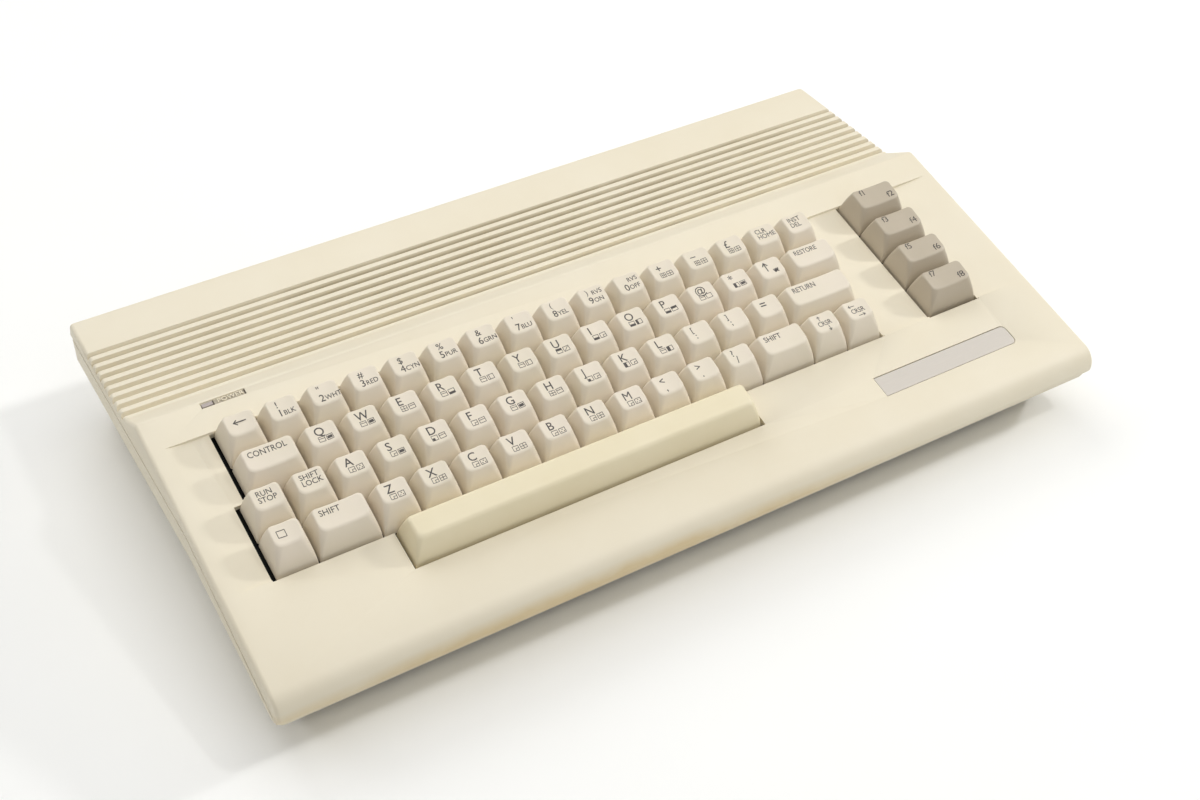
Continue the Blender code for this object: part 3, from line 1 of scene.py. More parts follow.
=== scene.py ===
"""Looks for an early home computer with a full keyboard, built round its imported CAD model.

The classes hold their sizes in millimetres, and mm() turns them to metres where a mesh is made.
"""

import logging
import math
from dataclasses import dataclass
from enum import Enum
from typing import Callable
from typing import Optional
from typing import Sequence
from typing import Union

import bmesh
import bpy
from mathutils import Matrix
from mathutils import Vector


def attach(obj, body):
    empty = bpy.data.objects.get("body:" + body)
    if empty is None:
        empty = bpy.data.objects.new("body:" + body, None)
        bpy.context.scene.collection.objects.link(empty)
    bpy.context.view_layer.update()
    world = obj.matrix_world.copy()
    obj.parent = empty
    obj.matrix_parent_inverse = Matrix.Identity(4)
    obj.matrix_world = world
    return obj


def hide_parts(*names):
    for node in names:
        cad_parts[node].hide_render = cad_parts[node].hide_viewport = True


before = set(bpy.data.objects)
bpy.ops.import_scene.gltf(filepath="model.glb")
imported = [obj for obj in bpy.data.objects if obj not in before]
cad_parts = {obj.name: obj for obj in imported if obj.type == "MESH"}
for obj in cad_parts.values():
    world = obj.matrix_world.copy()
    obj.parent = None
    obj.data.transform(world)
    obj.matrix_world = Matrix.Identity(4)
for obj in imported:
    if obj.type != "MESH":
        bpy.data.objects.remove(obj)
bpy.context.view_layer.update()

logging.basicConfig(level=logging.INFO, format="%(message)s")
LOG = logging.getLogger("home_computer")

MM = 0.001
ROOT_BODY = "case"

# The keyboard plane, parallel to the sloping deck: y and z of its front edge, its slope in degrees,
# the x at which the rows of keys start, and the key pitch
KEYBOARD_FRONT_Y = -65.6
KEYBOARD_FRONT_Z = 45.0
KEYBOARD_SLOPE = 13.0
KEYS_LEFT = -175.95
PITCH = 18.6

# Three lengths in millimetres, two of them on a flat top, and a drawn stroke: its two ends and its width
Point = tuple[float, float, float]
FlatPoint = tuple[float, float]
Stroke = tuple[FlatPoint, FlatPoint, float]


def mm(*values: float) -> Vector:
    """Turns a point in millimetres to a vector in metres."""
    return Vector([value * MM for value in values])


def linear(code: str, alpha: float = 1.0) -> tuple[float, float, float, float]:
    """Turns an sRGB hex colour to the linear colour that a shader socket takes.

    Args:
        code: Six hex digits, with or without a leading #.
        alpha: Opacity.

    Returns:
        Linear red, green, blue and alpha.
    """
    digits = code.lstrip("#")
    shares = [int(digits[start : start + 2], 16) / 255 for start in (0, 2, 4)]
    straight = [s / 12.92 if s <= 0.04045 else ((s + 0.055) / 1.055) ** 2.4 for s in shares]
    return (straight[0], straight[1], straight[2], alpha)


def keyboard_plane() -> Matrix:
    """Returns the matrix from the keyboard plane, in metres, to the model's frame."""
    place = Matrix.Translation(mm(0, KEYBOARD_FRONT_Y, KEYBOARD_FRONT_Z))
    return place @ Matrix.Rotation(math.radians(KEYBOARD_SLOPE), 4, "X")


def add_node(
    tree: bpy.types.NodeTree, kind: str, settings: dict, links: Optional[dict] = None
) -> bpy.types.Node:
    """Adds one node with its settings and its incoming links.

    Args:
        tree: The node tree that gets the node.
        kind: Blender's name of the node type, after its first word ShaderNode.
        settings: Values by input name or number, or by property name.
        links: Output sockets by input name or number.

    Returns:
        The new node.
    """
    node = tree.nodes.new("ShaderNode" + kind)
    for name, value in settings.items():
        if isinstance(name, int) or name in node.inputs:
            node.inputs[name].default_value = value
        else:
            setattr(node, name, value)
    for name, socket in (links or {}).items():
        tree.links.new(socket, node.inputs[name])
    return node


def as_mesh(name: str, shape: bmesh.types.BMesh) -> bpy.types.Mesh:
    """Turns a bmesh to a mesh of that name and frees it."""
    mesh = bpy.data.meshes.new(name)
    shape.to_mesh(mesh)
    shape.free()
    return mesh


def new_material(name: str) -> tuple[bpy.types.Material, bpy.types.NodeTree]:
    """Makes an empty node material.

    Args:
        name: The name of the real material.

    Returns:
        The material and its cleared tree.
    """
    made = bpy.data.materials.new(name)
    made.use_nodes = True
    made.node_tree.nodes.clear()
    return made, made.node_tree


@dataclass(frozen=True)
class AgeingAndShadePatch:
    """A patch of colour over the plastic: the plastic's own ageing, and also painted shade where a patch
    stands for shade in a hollow.

    Attributes:
        colour: The colour that the plastic has gone to, and for a patch of painted shade the shade's colour.
        middle: Middle of the patch in millimetres.
        reach: Its half lengths in millimetres.
        strength: Share of that colour where the patch is fullest.
        spot: Size in millimetres of the spots that break it up.
        shows_from, full_from: Cover at which it begins to show, and at which it is fullest.
    """

    colour: str
    middle: Point
    reach: Point
    strength: float = 0.7
    spot: float = 22.0
    shows_from: float = 0.02
    full_from: float = 0.3


@dataclass(frozen=True)
class MouldedPlastic:
    """Injection-moulded plastic: an even colour, faint flow mottling and a fine sparked grain.

    Attributes:
        name: The common name of the plastic and its colour.
        colour: Body colour.
        mottle: The colour that the body drifts to in soft clouds.
        roughness: How matt the mould's texture leaves it.
        grain: Size of the grain in millimetres.
        grain_height: Height of the grain in millimetres.
        cloud: Size of the clouds in millimetres.
        ageing_and_shade: Patches of aged plastic, and of painted shade.
        gloss_swing: How far the grain moves the roughness up and down.
    """

    name: str
    colour: str
    mottle: str
    roughness: float
    grain: float
    grain_height: float
    cloud: float = 45.0
    ageing_and_shade: tuple[AgeingAndShadePatch, ...] = ()
    gloss_swing: float = 0.06

    def aged_and_shaded(
        self, tree: bpy.types.NodeTree, place: bpy.types.NodeSocket, colour: bpy.types.NodeSocket
    ) -> bpy.types.NodeSocket:
        """Lays the patches of aged plastic and of painted shade over a colour.

        Args:
            tree: The material's tree.
            place: Object coordinates.
            colour: The colour so far.

        Returns:
            The colour with the patches on it.
        """
        for patch in self.ageing_and_shade:
            shift = add_node(
                tree,
                "Mapping",
                {"vector_type": "TEXTURE", "Location": mm(*patch.middle), "Scale": mm(*patch.reach)},
                {"Vector": place},
            )
            ball = add_node(
                tree, "TexGradient", {"gradient_type": "SPHERICAL"}, {"Vector": shift.outputs["Vector"]}
            )
            spots = add_node(
                tree,
                "TexNoise",
                {"Scale": 1 / (patch.spot * MM), "Detail": 3.0, "Roughness": 0.6},
                {"Vector": place},
            )
            share = add_node(
                tree, "Math", {"operation": "MULTIPLY"}, {0: ball.outputs["Fac"], 1: spots.outputs["Fac"]}
            )
            level = add_node(
                tree,
                "MapRange",
                {
                    "From Min": patch.shows_from,
                    "From Max": patch.full_from,
                    "To Min": 0.0,
                    "To Max": patch.strength,
                },
                {"Value": share.outputs[0]},
            )
            mixed = add_node(
                tree,
                "Mix",
                {"data_type": "RGBA", 7: linear(patch.colour)},
                {0: level.outputs[0], 6: colour},
            )
            colour = mixed.outputs[2]
        return colour

    def material(self) -> bpy.types.Material:
        """Builds the node material."""
        made, tree = new_material(self.name)
        place = add_node(tree, "TexCoord", {}).outputs["Object"]
        clouds = add_node(
            tree,
            "TexNoise",
            {"Scale": 1 / (self.cloud * MM), "Detail": 4.0, "Roughness": 0.55},
            {"Vector": place},
        )
        drift = add_node(
            tree,
            "MapRange",
            {"From Min": 0.3, "From Max": 0.7, "To Min": 0.0, "To Max": 1.0},
            {"Value": clouds.outputs["Fac"]},
        )
        body = add_node(
            tree,
            "Mix",
            {"data_type": "RGBA", 6: linear(self.colour), 7: linear(self.mottle)},
            {0: drift.outputs[0]},
        )
        grain = add_node(
            tree,
            "TexNoise",
            {"Scale": 1 / (self.grain * MM), "Detail": 2.0, "Roughness": 0.6},
            {"Vector": place},
        )
        gloss = add_node(
            tree,
            "MapRange",
            {"To Min": self.roughness - self.gloss_swing, "To Max": self.roughness + self.gloss_swing},
            {"Value": grain.outputs["Fac"]},
        )
        bump = add_node(
            tree,
            "Bump",
            {"Strength": 0.6, "Distance": self.grain_height * MM},
            {"Height": grain.outputs["Fac"]},
        )
        shader = add_node(
            tree,
            "BsdfPrincipled",
            {"IOR": 1.53},
            {
                "Base Color": self.aged_and_shaded(tree, place, body.outputs[2]),
                "Roughness": gloss.outputs[0],
                "Normal": bump.outputs["Normal"],
            },
        )
        add_node(tree, "OutputMaterial", {}, {"Surface": shader.outputs["BSDF"]})
        return made


@dataclass(frozen=True)
class BrushedMetal:
    """Metal with a fine directional finish: streaks vary its gloss and its colour a little.

    Attributes:
        name: The common name of the metal and its finish.
        colour: Reflection colour.
        shade: The colour between the streaks.
        roughness: Middle roughness.
        streak: Streak size in millimetres along x, y and z.
        metallic: 1 for bare metal, less for a lacquered or printed foil.
        streak_depth: Depth of the streaks in millimetres.
        gloss_swing: How far the streaks move the roughness up and down.
    """

    name: str
    colour: str
    shade: str
    roughness: float
    streak: Point
    metallic: float = 1.0
    streak_depth: float = 0.02
    gloss_swing: float = 0.08

    def material(self) -> bpy.types.Material:
        """Builds the node material."""
        made, tree = new_material(self.name)
        place = add_node(tree, "TexCoord", {}).outputs["Object"]
        run = add_node(
            tree, "Mapping", {"vector_type": "TEXTURE", "Scale": mm(*self.streak)}, {"Vector": place}
        )
        streaks = add_node(
            tree,
            "TexNoise",
            {"Scale": 1.0, "Detail": 3.0, "Roughness": 0.6},
            {"Vector": run.outputs["Vector"]},
        )
        body = add_node(
            tree,
            "Mix",
            {"data_type": "RGBA", 6: linear(self.colour), 7: linear(self.shade)},
            {0: streaks.outputs["Fac"]},
        )
        gloss = add_node(
            tree,
            "MapRange",
            {"To Min": self.roughness - self.gloss_swing, "To Max": self.roughness + self.gloss_swing},
            {"Value": streaks.outputs["Fac"]},
        )
        bump = add_node(
            tree,
            "Bump",
            {"Strength": 0.3, "Distance": self.streak_depth * MM},
            {"Height": streaks.outputs["Fac"]},
        )
        shader = add_node(
            tree,
            "BsdfPrincipled",
            {"Metallic": self.metallic},
            {
                "Base Color": body.outputs[2],
                "Roughness": gloss.outputs[0],
                "Normal": bump.outputs["Normal"],
            },
        )
        add_node(tree, "OutputMaterial", {}, {"Surface": shader.outputs["BSDF"]})
        return made


@dataclass(frozen=True)
class StripedSheet:
    """A flat part with stripes at a real spacing, such as a ribbon cable or an edge contact row.

    Attributes:
        name: The common name of the part's material.
        colour: Colour of the stripes.
        gap_colour: Colour between them.
        pitch: Stripe spacing in millimetres along x.
        roughness: Surface roughness.
        share: Share of the pitch that a stripe takes.
        stripes_from: y, in millimetres, past which the stripes show.
        metallic: Metallic value of the stripes.
        fleck: Size in millimetres of the flecks in the ground between them.
    """

    name: str
    colour: str
    gap_colour: str
    pitch: float
    roughness: float
    share: float = 0.6
    stripes_from: float = -1000.0
    metallic: float = 0.0
    fleck: float = 3.0

    def material(self) -> bpy.types.Material:
        """Builds the node material."""
        made, tree = new_material(self.name)
        place = add_node(tree, "TexCoord", {}).outputs["Object"]
        axes = add_node(tree, "SeparateXYZ", {}, {"Vector": place})
        turns = add_node(
            tree, "Math", {"operation": "MULTIPLY", 1: 1 / (self.pitch * MM)}, {0: axes.outputs["X"]}
        )
        phase = add_node(tree, "Math", {"operation": "FRACT"}, {0: turns.outputs[0]})
        on = add_node(tree, "Math", {"operation": "LESS_THAN", 1: self.share}, {0: phase.outputs[0]})
        past = add_node(
            tree, "Math", {"operation": "GREATER_THAN", 1: self.stripes_from * MM}, {0: axes.outputs["Y"]}
        )
        both = add_node(tree, "Math", {"operation": "MULTIPLY"}, {0: on.outputs[0], 1: past.outputs[0]})
        flecks = add_node(
            tree, "TexNoise", {"Scale": 1 / (self.fleck * MM), "Detail": 3.0}, {"Vector": place}
        )
        ground = add_node(
            tree,
            "Mix",
            {"data_type": "RGBA", "blend_type": "MULTIPLY", 0: 0.35, 6: linear(self.gap_colour)},
            {7: flecks.outputs["Color"]},
        )
        body = add_node(
            tree,
            "Mix",
            {"data_type": "RGBA", 7: linear(self.colour)},
            {0: both.outputs[0], 6: ground.outputs[2]},
        )
        metal = add_node(tree, "Math", {"operation": "MULTIPLY", 1: self.metallic}, {0: both.outputs[0]})
        gloss = add_node(
            tree,
            "MapRange",
            {"To Min": self.roughness - 0.05, "To Max": self.roughness + 0.08},
            {"Value": flecks.outputs["Fac"]},
        )
        shader = add_node(
            tree,
            "BsdfPrincipled",
            {},
            {"Base Color": body.outputs[2], "Metallic": metal.outputs[0], "Roughness": gloss.outputs[0]},
        )
        add_node(tree, "OutputMaterial", {}, {"Surface": shader.outputs["BSDF"]})
        return made


Finish = Union[MouldedPlastic, BrushedMetal, StripedSheet]

# ABS from a spark-eroded mould: matt beige, yellowed low along the front where sun and hands reached it,
# and with painted shade darkening the floors of the rear deck's grooves
CASE_ABS = MouldedPlastic(
    name="beige_abs_sparked",
    colour="#E8DFC9",
    mottle="#E5DBC3",
    roughness=0.56,
    grain=0.45,
    grain_height=0.03,
    ageing_and_shade=(
        AgeingAndShadePatch("#D8BE88", (-60, -115, 25), (190, 9, 8)),
        # Painted shade: the floors of the rear deck's grooves are darkened in the colour, standing in for
        # the shade that falls in them
        AgeingAndShadePatch("#B3A688", (20, 82, 53.8), (300, 70, 2.3), strength=0.85),
    ),
)
# PBT of the letter caps: pale beige, a closer grain than the case and a little more sheen
KEY_PBT = MouldedPlastic("beige_pbt_keycap", "#E7DCCA", "#E3D9C4", 0.46, 0.3, 0.012, 25.0)
# ABS of the space bar: creamier than the caps beside it
BAR_ABS = MouldedPlastic("cream_abs_space_bar", "#EBE0C1", "#E7DBB9", 0.46, 0.3, 0.012, 25.0)
# PBT of the function keys: grey-brown, with more sheen than the letter caps
FUNCTION_PBT = MouldedPlastic("grey_pbt_keycap", "#BFB39F", "#B9AD98", 0.36, 0.3, 0.012, 25.0)
# Pad-printed ink: a thin dull film on the cap, dark grey-brown and not black
LEGEND_INK = MouldedPlastic("dark_pad_printing_ink", "#48433F", "#534D49", 0.6, 0.5, 0.004, 4.0)
# Phenolic of the sockets: near black with a dull skin
BLACK_PHENOLIC = MouldedPlastic("black_phenolic", "#1D1C1B", "#242221", 0.5, 0.4, 0.02, 8.0)
# Polished ABS of the power switch: black, and glossier than the sockets
SWITCH_ABS = MouldedPlastic("black_abs_polished", "#191919", "#1F1E1E", 0.32, 0.4, 0.006, 8.0)
# Rubber of the feet: dark grey and quite without gloss
FOOT_RUBBER = MouldedPlastic("black_rubber_matt", "#2B2928", "#35322F", 0.85, 0.5, 0.04, 6.0)
# Strip under the lamp's word: an even tan, darker than the case, half matt
TAN_WINDOW_STRIP = MouldedPlastic("tan_window_strip", "#B7AD99", "#AFA591", 0.5, 0.4, 0.004, 6.0)
# Painted shade: dark brown blocks in the gaps at the two ends of the lamp's window, quite without gloss
GAP_PAINTED_SHADE = MouldedPlastic("brown_painted_gap_shade", "#6F6557", "#5F564A", 0.85, 0.5, 0.02, 4.0)
# Resin of the unlit lamp: a pale, cloudy grey with a soft gloss
LAMP_RESIN = MouldedPlastic("smoked_epoxy_lens", "#B5AAA5", "#ABA09B", 0.3, 0.4, 0.004, 5.0)
# Zinc plating of screws and wire: pale, with a faint rolled direction
ZINC_STEEL = BrushedMetal("zinc_plated_steel", "#C9C9C4", "#B4B4AF", 0.34, (6, 0.6, 0.6))
# Black zinc on the keyboard's plate: keeps the gaps between the caps dark, with a faint sheen
BLACK_ZINC = BrushedMetal("black_zinc_plated_steel", "#262523", "#1C1B1A", 0.5, (6, 0.6, 0.6), 0.6)
# Tinned sheet of the board's shield and the aerial box: pale grey, duller than zinc
TIN_SHEET = BrushedMetal("tinned_steel_sheet", "#C4C3BD", "#ACABA5", 0.42, (9, 0.8, 0.8))
# Aluminium foil of the name plate: brushed along its length under a grey-beige lacquer
PLATE_FOIL = BrushedMetal("lacquered_aluminium_foil", "#D8D1C7", "#CEC7BC", 0.4, (5, 0.25, 0.25), 0.35)
# Fibreglass laminate: green, with gold contact stripes on the tongues behind y = 99 mm
BOARD_LAMINATE = StripedSheet(
    "green_fibreglass_laminate", "#C9A44A", "#2E5A38", 3.96, 0.4, stripes_from=99.0, metallic=1.0
)
# PVC of the ribbon cable: two greys in turn, at the spacing of its wires
RIBBON_PVC = StripedSheet("grey_pvc_ribbon", "#8E9092", "#77797B", 1.27, 0.5)


class Wardrobe:
    """Builds each finish once and hands it out."""

    def __init__(self) -> None:
        """Starts with no materials made."""
        self.made: dict[str, bpy.types.Material] = {}

    def get(self, finish: Finish) -> bpy.types.Material:
        """Returns the material of a finish, made on first use."""
        if finish.name not in self.made:
            self.made[finish.name] = finish.material()
        return self.made[finish.name]


WARDROBE = Wardrobe()


def show(
    name: str, mesh: bpy.types.Mesh, finish: Finish, body: str, replaced: Sequence[str] = ()
) -> bpy.types.Object:
    """Puts a finished mesh in the scene as a piece that rides on a body.

    Args:
        name: Name of the piece.
        mesh: Its mesh, already in place.
        finish: The finish that it takes.
        body: The CAD body that it moves with.
        replaced: CAD nodes that it stands for.

    Returns:
        The new object.
    """
    mesh.materials.clear()
    mesh.materials.append(WARDROBE.get(finish))
    piece = bpy.data.objects.new(name, mesh)
    bpy.context.scene.collection.objects.link(piece)
    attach(piece, body)
    if replaced:
        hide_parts(*replaced)
    LOG.info("%s: %d faces on %s", name, len(mesh.polygons), body)
    return piece


def shade_smooth(mesh: bpy.types.Mesh, sharp_angle: float = 40.0) -> None:
    """Smooths a mesh, apart from edges sharper than an angle in degrees."""
    mesh.polygons.foreach_set("use_smooth", [True] * len(mesh.polygons))
    mesh.set_sharp_from_angle(angle=math.radians(sharp_angle))


@dataclass
class Refiner:
    """Makes finer copies of CAD nodes: merged, with their flat parts dissolved and their edges rounded.

    Attributes:
        merge: Distance in millimetres below which points are one.
        flat: Angle in degrees below which faces are one.
        crease: Angle in degrees above which an edge gets rounded.
        segments: Steps across a rounded edge.
    """

    merge: float = 0.002
    flat: float = 0.6
    crease: float = 32.0
    segments: int = 2

    def copy(
        self,
        node: str,
        radius: float,
        finish: Finish,
        body: str,
        slot: str,
        before: Optional[Callable[[bmesh.types.BMesh], None]] = None,
    ) -> bpy.types.Object:
        """Copies a node and replaces it.

        Args:
            node: The CAD node.
            radius: Edge radius in millimetres.
            finish: The finish that it takes.
            body: The CAD body that it moves with.
            slot: The record's material slot; not used.
            before: Work on the copy before its edges are rounded.

        Returns:
            The piece that stands for the node.
        """
        shape = bmesh.new()
        shape.from_mesh(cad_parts[node].data)
        bmesh.ops.remove_doubles(shape, verts=shape.verts, dist=self.merge * MM)
        bmesh.ops.dissolve_limit(
            shape, angle_limit=math.radians(self.flat), verts=shape.verts, edges=shape.edges
        )
        if before:
            before(shape)
        # A merged face that is concave would be drawn torn, so it is split into convex ones
        bmesh.ops.connect_verts_concave(shape, faces=shape.faces)
        mesh = as_mesh(node + "_fine", shape)
        shade_smooth(mesh, self.crease)
        piece = show(node + "_fine", mesh, finish, body, (node,))
        edge = piece.modifiers.new("rounded_edges", "BEVEL")
        edge.width = radius * MM
        edge.segments = self.segments
        edge.limit_method = "ANGLE"
        edge.angle_limit = math.radians(self.crease)
        edge.harden_normals = True
        edge.use_clamp_overlap = True
        edge.miter_outer = "MITER_ARC"
        return piece


@dataclass
class CaseShells:
    """The two halves of the case.

    Attributes:
        edge_radius: Radius of the edges in millimetres.
        groove_rounding: Radius of the grooves' upper edges in millimetres.
        groove_steps: Steps across that radius.
        grooves_from: y, in millimetres, behind which the grooves lie.
        groove_length: Length in millimetres that only the edges of grooves have.
        groove_fold: Smallest fold of such an edge, in radians.
        rear_top: Height of the rear deck in millimetres.
        slack: How far an edge may be off that height or off its own y, in millimetres.
    """

    edge_radius: float = 0.35
    groove_rounding: float = 0.75
    groove_steps: int = 4
    grooves_from: float = 30.0
    groove_length: float = 100.0
    groove_fold: float = 0.5
    rear_top: float = 56.5
    slack: float = 0.05

    def round_grooves(self, shape: bmesh.types.BMesh) -> None:
        """Rounds the upper edges of the grooves in the rear deck.

        Args:
            shape: The upper case.
        """
        edges = []
        for edge in shape.edges:
            first, last = (vertex.co / MM for vertex in edge.verts)
            level = max(abs(first.z - self.rear_top), abs(last.z - self.rear_top)) < self.slack
            along = abs(first.y - last.y) < self.slack and abs(first.x - last.x) > self.groove_length
            folded = edge.calc_face_angle(0) > self.groove_fold
            if level and along and folded and self.grooves_from < first.y:
                edges.append(edge)
        LOG.info("upper_case: %d groove edges rounded", len(edges))
        bmesh.ops.bevel(
            shape,
            geom=edges,
            offset=self.groove_rounding * MM,
            offset_type="OFFSET",
            segments=self.groove_steps,
            profile=0.5,
            affect="EDGES",
            clamp_overlap=True,
        )

    def build(self, refiner: Refiner) -> None:
        """Replaces both shells by finer ones.

        Args:
            refiner: Makes the finer copies.
        """
        slot = "case_plastic"
        refiner.copy("upper_case", self.edge_radius, CASE_ABS, ROOT_BODY, slot, self.round_grooves)
        refiner.copy("lower_case", self.edge_radius, CASE_ABS, ROOT_BODY, slot)


class Tone(Enum):
    """The three colours of cap on the keyboard."""

    LETTER = "letter"
    FUNCTION = "function"
    BAR = "bar"


@dataclass
class CapShape:
    """A hollow moulded key cap with a dished top, in millimetres on the keyboard plane.

    Attributes:
        units: Width in key pitches.
        gap: Space to the next cap.
        base: Height of the skirt's lower edge.
        top_front: Height of the top's front edge.
        top_rise: How much higher the top's rear edge is.
        front_inset, rear_inset, side_inset: How far the top stands back from the skirt.
        dish: Depth of the hollow in the top.
        edge: Radius of the edge round the top.
        corner_base, corner_front, corner_rear: Corner radii at the skirt and at the top.
        wall: Wall of the skirt.
        cavity: Depth of the hollow under the cap.
        stem: Side of the square stem.
        stem_bottom: Height of the stem's lower end.
        stem_offset: Distance of the stem from the cap's middle along the row.
        corner_steps, side_steps: Steps of a ring round a corner and along a side.
        wall_steps, edge_steps: Rings up the wall, and round the edge of the top.
        straight_lean: Share of the wall's lean that is straight; the rest is curved.
        corner_growth: Power by which the corners widen with height.
        corner_limit: Widest corner, as a share of half the shorter side.
        edge_share: Share of its radius that the edge takes of the wall and of the top.
        dish_from, dish_over: Shares of the height from which, and over which, the wall takes up the dish.
        dish_end: Distance from the end of the top over which the dish runs out.
        top_shares: Sizes of the rings on the top, as shares of its rim.
    """

    units: float
    side_inset: float = 2.9
    gap: float = 0.5
    base: float = -1.5
    top_front: float = 11.6
    top_rise: float = 0.9
    front_inset: float = 5.6
    rear_inset: float = 1.9
    dish: float = 0.75
    edge: float = 0.85
    corner_base: float = 0.7
    corner_front: float = 3.3
    corner_rear: float = 2.2
    wall: float = 1.3
    cavity: float = 5.2
    stem: float = 4.6
    stem_bottom: float = -9.1
    stem_offset: float = 0.0
    corner_steps: int = 8
    side_steps: int = 4
    wall_steps: int = 9
    edge_steps: int = 5
    straight_lean: float = 0.35
    corner_growth: float = 1.5
    corner_limit: float = 0.98
    edge_share: float = 0.8
    dish_from: float = 0.55
    dish_over: float = 0.45
    dish_end: float = 9.0
    top_shares: tuple[float, ...] = (0.94, 0.85, 0.7, 0.5, 0.28, 0.1)

    def lean(self, height: float) -> float:
        """Returns the share of the full inset that the wall has reached at a share of the height."""
        return self.straight_lean * height + (1 - self.straight_lean) * height * height

    def outline(self, height: float, draw_in: float = 0.0) -> list[Point]:
        """Works out one ring of the cap.

        Args:
            height: Share of the full height.
            draw_in: Extra inset on all sides, in millimetres.

        Returns:
            Its points in millimetres, in order round the cap.
        """
        lean = self.lean(height)
        half_x = (self.units * PITCH - self.gap) / 2 - self.side_inset * lean - draw_in
        half_y = (PITCH - self.gap) / 2
        front = -half_y + self.front_inset * lean + draw_in
        rear = half_y - self.rear_inset * lean - draw_in
        limit = min(half_x, (rear - front) / 2) * self.corner_limit
        grow = height**self.corner_growth
        round_rear = min(limit, self.corner_base + (self.corner_rear - self.corner_base) * grow)
        round_front = min(limit, self.corner_base + (self.corner_front - self.corner_base) * grow)
        corners = (
            (half_x, rear, round_rear, 0),
            (-half_x, rear, round_rear, 90),
            (-half_x, front, round_front, 180),
            (half_x, front, round_front, 270),
        )
        flat = []
        for number, (x, y, radius, start) in enumerate(corners):
            middle_x = x - math.copysign(radius, x)
            middle_y = y - radius if number < 2 else y + radius
            for step in range(self.corner_steps + 1):
                angle = math.radians(start + 90 * step / self.corner_steps)
                flat.append((middle_x + radius * math.cos(angle), middle_y + radius * math.sin(angle)))
            after_x, after_y, after_radius, _ = corners[(number + 1) % 4]
            next_x = after_x - math.copysign(after_radius, after_x)
            next_y = after_y - after_radius if (number + 1) % 4 < 2 else after_y + after_radius
            next_angle = math.radians(start + 90)
            last = flat[-1]
            ahead = (
                next_x + after_radius * math.cos(next_angle),
                next_y + after_radius * math.sin(next_angle),
            )
            for step in range(1, self.side_steps + 1):
                share = step / (self.side_steps + 1)
                flat.append((last[0] + (ahead[0] - last[0]) * share, last[1] + (ahead[1] - last[1]) * share))
        sag = max(height - self.dish_from, 0.0) / self.dish_over
        return [(x, y, self.level(y, height) - self.hollow(x) * sag * sag) for x, y in flat]

    def hollow(self, x: float) -> float:
        """Returns the depth of the dish at a distance from the cap's middle along the row."""
        half_x = (self.units * PITCH - self.gap) / 2 - self.side_inset
        span = min(half_x, self.dish_end)
        past = max(abs(x) - (half_x - span), 0.0) / span
        return self.dish * max(1.0 - past * past, 0.0)

    def level(self, y: float, height: float) -> float:
        """Returns the height at a y where the wall has climbed a share of its height."""
        half_y = (PITCH - self.gap) / 2
        slope = self.top_rise / (2 * half_y - self.front_inset - self.rear_inset)
        full = self.top_front + (y + half_y - self.front_inset) * slope
        return self.base + (full - self.base) * height

    def top(self, x: float, y: float) -> float:
        """Returns the height of the dished top at a point, in millimetres.

        Args:
            x: Distance from the cap's middle along the row.
            y: Distance from the middle of the pitch square.

        Returns:
            The height over the keyboard plane.
        """
        return self.level(y, 1.0) - self.hollow(x)

    def count(self) -> int:
        """Returns the number of points in a ring."""
        return 4 * (self.corner_steps + 1 + self.side_steps)

    def stem_ring(self, skirt: Sequence[Point], height: float) -> list[Point]:
        """Draws the skirt's ring in to the stem.

        Args:
            skirt: The ring at the foot of the skirt.
            height: Height of the new ring in millimetres.

        Returns:
            The points of the new ring, in the same order.
        """
        reach = self.stem / 2 / max(abs(point[1]) for point in skirt)
        width = max(abs(point[0]) for point in skirt)
        return [(self.stem_offset + x * self.stem / 2 / width, y * reach, height) for x, y, _ in skirt]

    def rings(self) -> list[list[Point]]:
        """Returns all rings from the stem's end, out under the skirt, and up to the middle of the top."""
        full = self.top_front - self.base
        ceiling = self.base + self.cavity
        skirt = self.outline(0)
        made = [
            self.stem_ring(skirt, self.stem_bottom),
            self.stem_ring(skirt, ceiling),
            [(x, y, ceiling) for x, y, _ in self.outline(self.cavity / full, self.wall)],
            self.outline(0, self.wall),
            skirt,
        ]
        wall_top = 1 - self.edge / full * self.edge_share
        for step in range(1, self.wall_steps + 1):
            made.append(self.outline(wall_top * step / self.wall_steps))
        for step in range(1, self.edge_steps + 1):
            angle = math.radians(90 * step / self.edge_steps)
            draw_in = self.edge * (1 - math.cos(angle)) * self.edge_share
            made.append(self.outline(wall_top + (1 - wall_top) * math.sin(angle), draw_in))
        rim = made[-1]
        middle_y = sum(point[1] for point in rim) / len(rim)
        for scale in self.top_shares:
            ring = []
            for x, y, _ in rim:
                at_x = x * scale
                at_y = middle_y + (y - middle_y) * scale
                ring.append((at_x, at_y, self.top(at_x, at_y)))
            made.append(ring)
        return made

    def mesh(self, shape: bmesh.types.BMesh, place: Matrix) -> None:
        """Adds the cap to a bmesh.

        Args:
            shape: The bmesh that gets it.
            place: From the cap's own millimetres, made metres, to the model's frame.
        """
        rings = self.rings()
        made = bmesh.ops.create_circle(shape, cap_ends=False, segments=self.count(), radius=1.0)
        ring = made["verts"]
        everything = list(ring)
        set_ring(ring, rings[0])
        first = list(ring)
        for points in rings[1:]:
            ring = next_ring(shape, ring)
            set_ring(ring, points)
            everything.extend(ring)
        shape.faces.new(list(reversed(first)))
        shape.faces.new(ring)
        bmesh.ops.transform(shape, matrix=place, verts=everything)


def set_ring(ring: Sequence[bmesh.types.BMVert], points: Sequence[Point]) -> None:
    """Moves a ring's vertices to points given in millimetres."""
    for vertex, point in zip(ring, points):
        vertex.co = mm(*point)


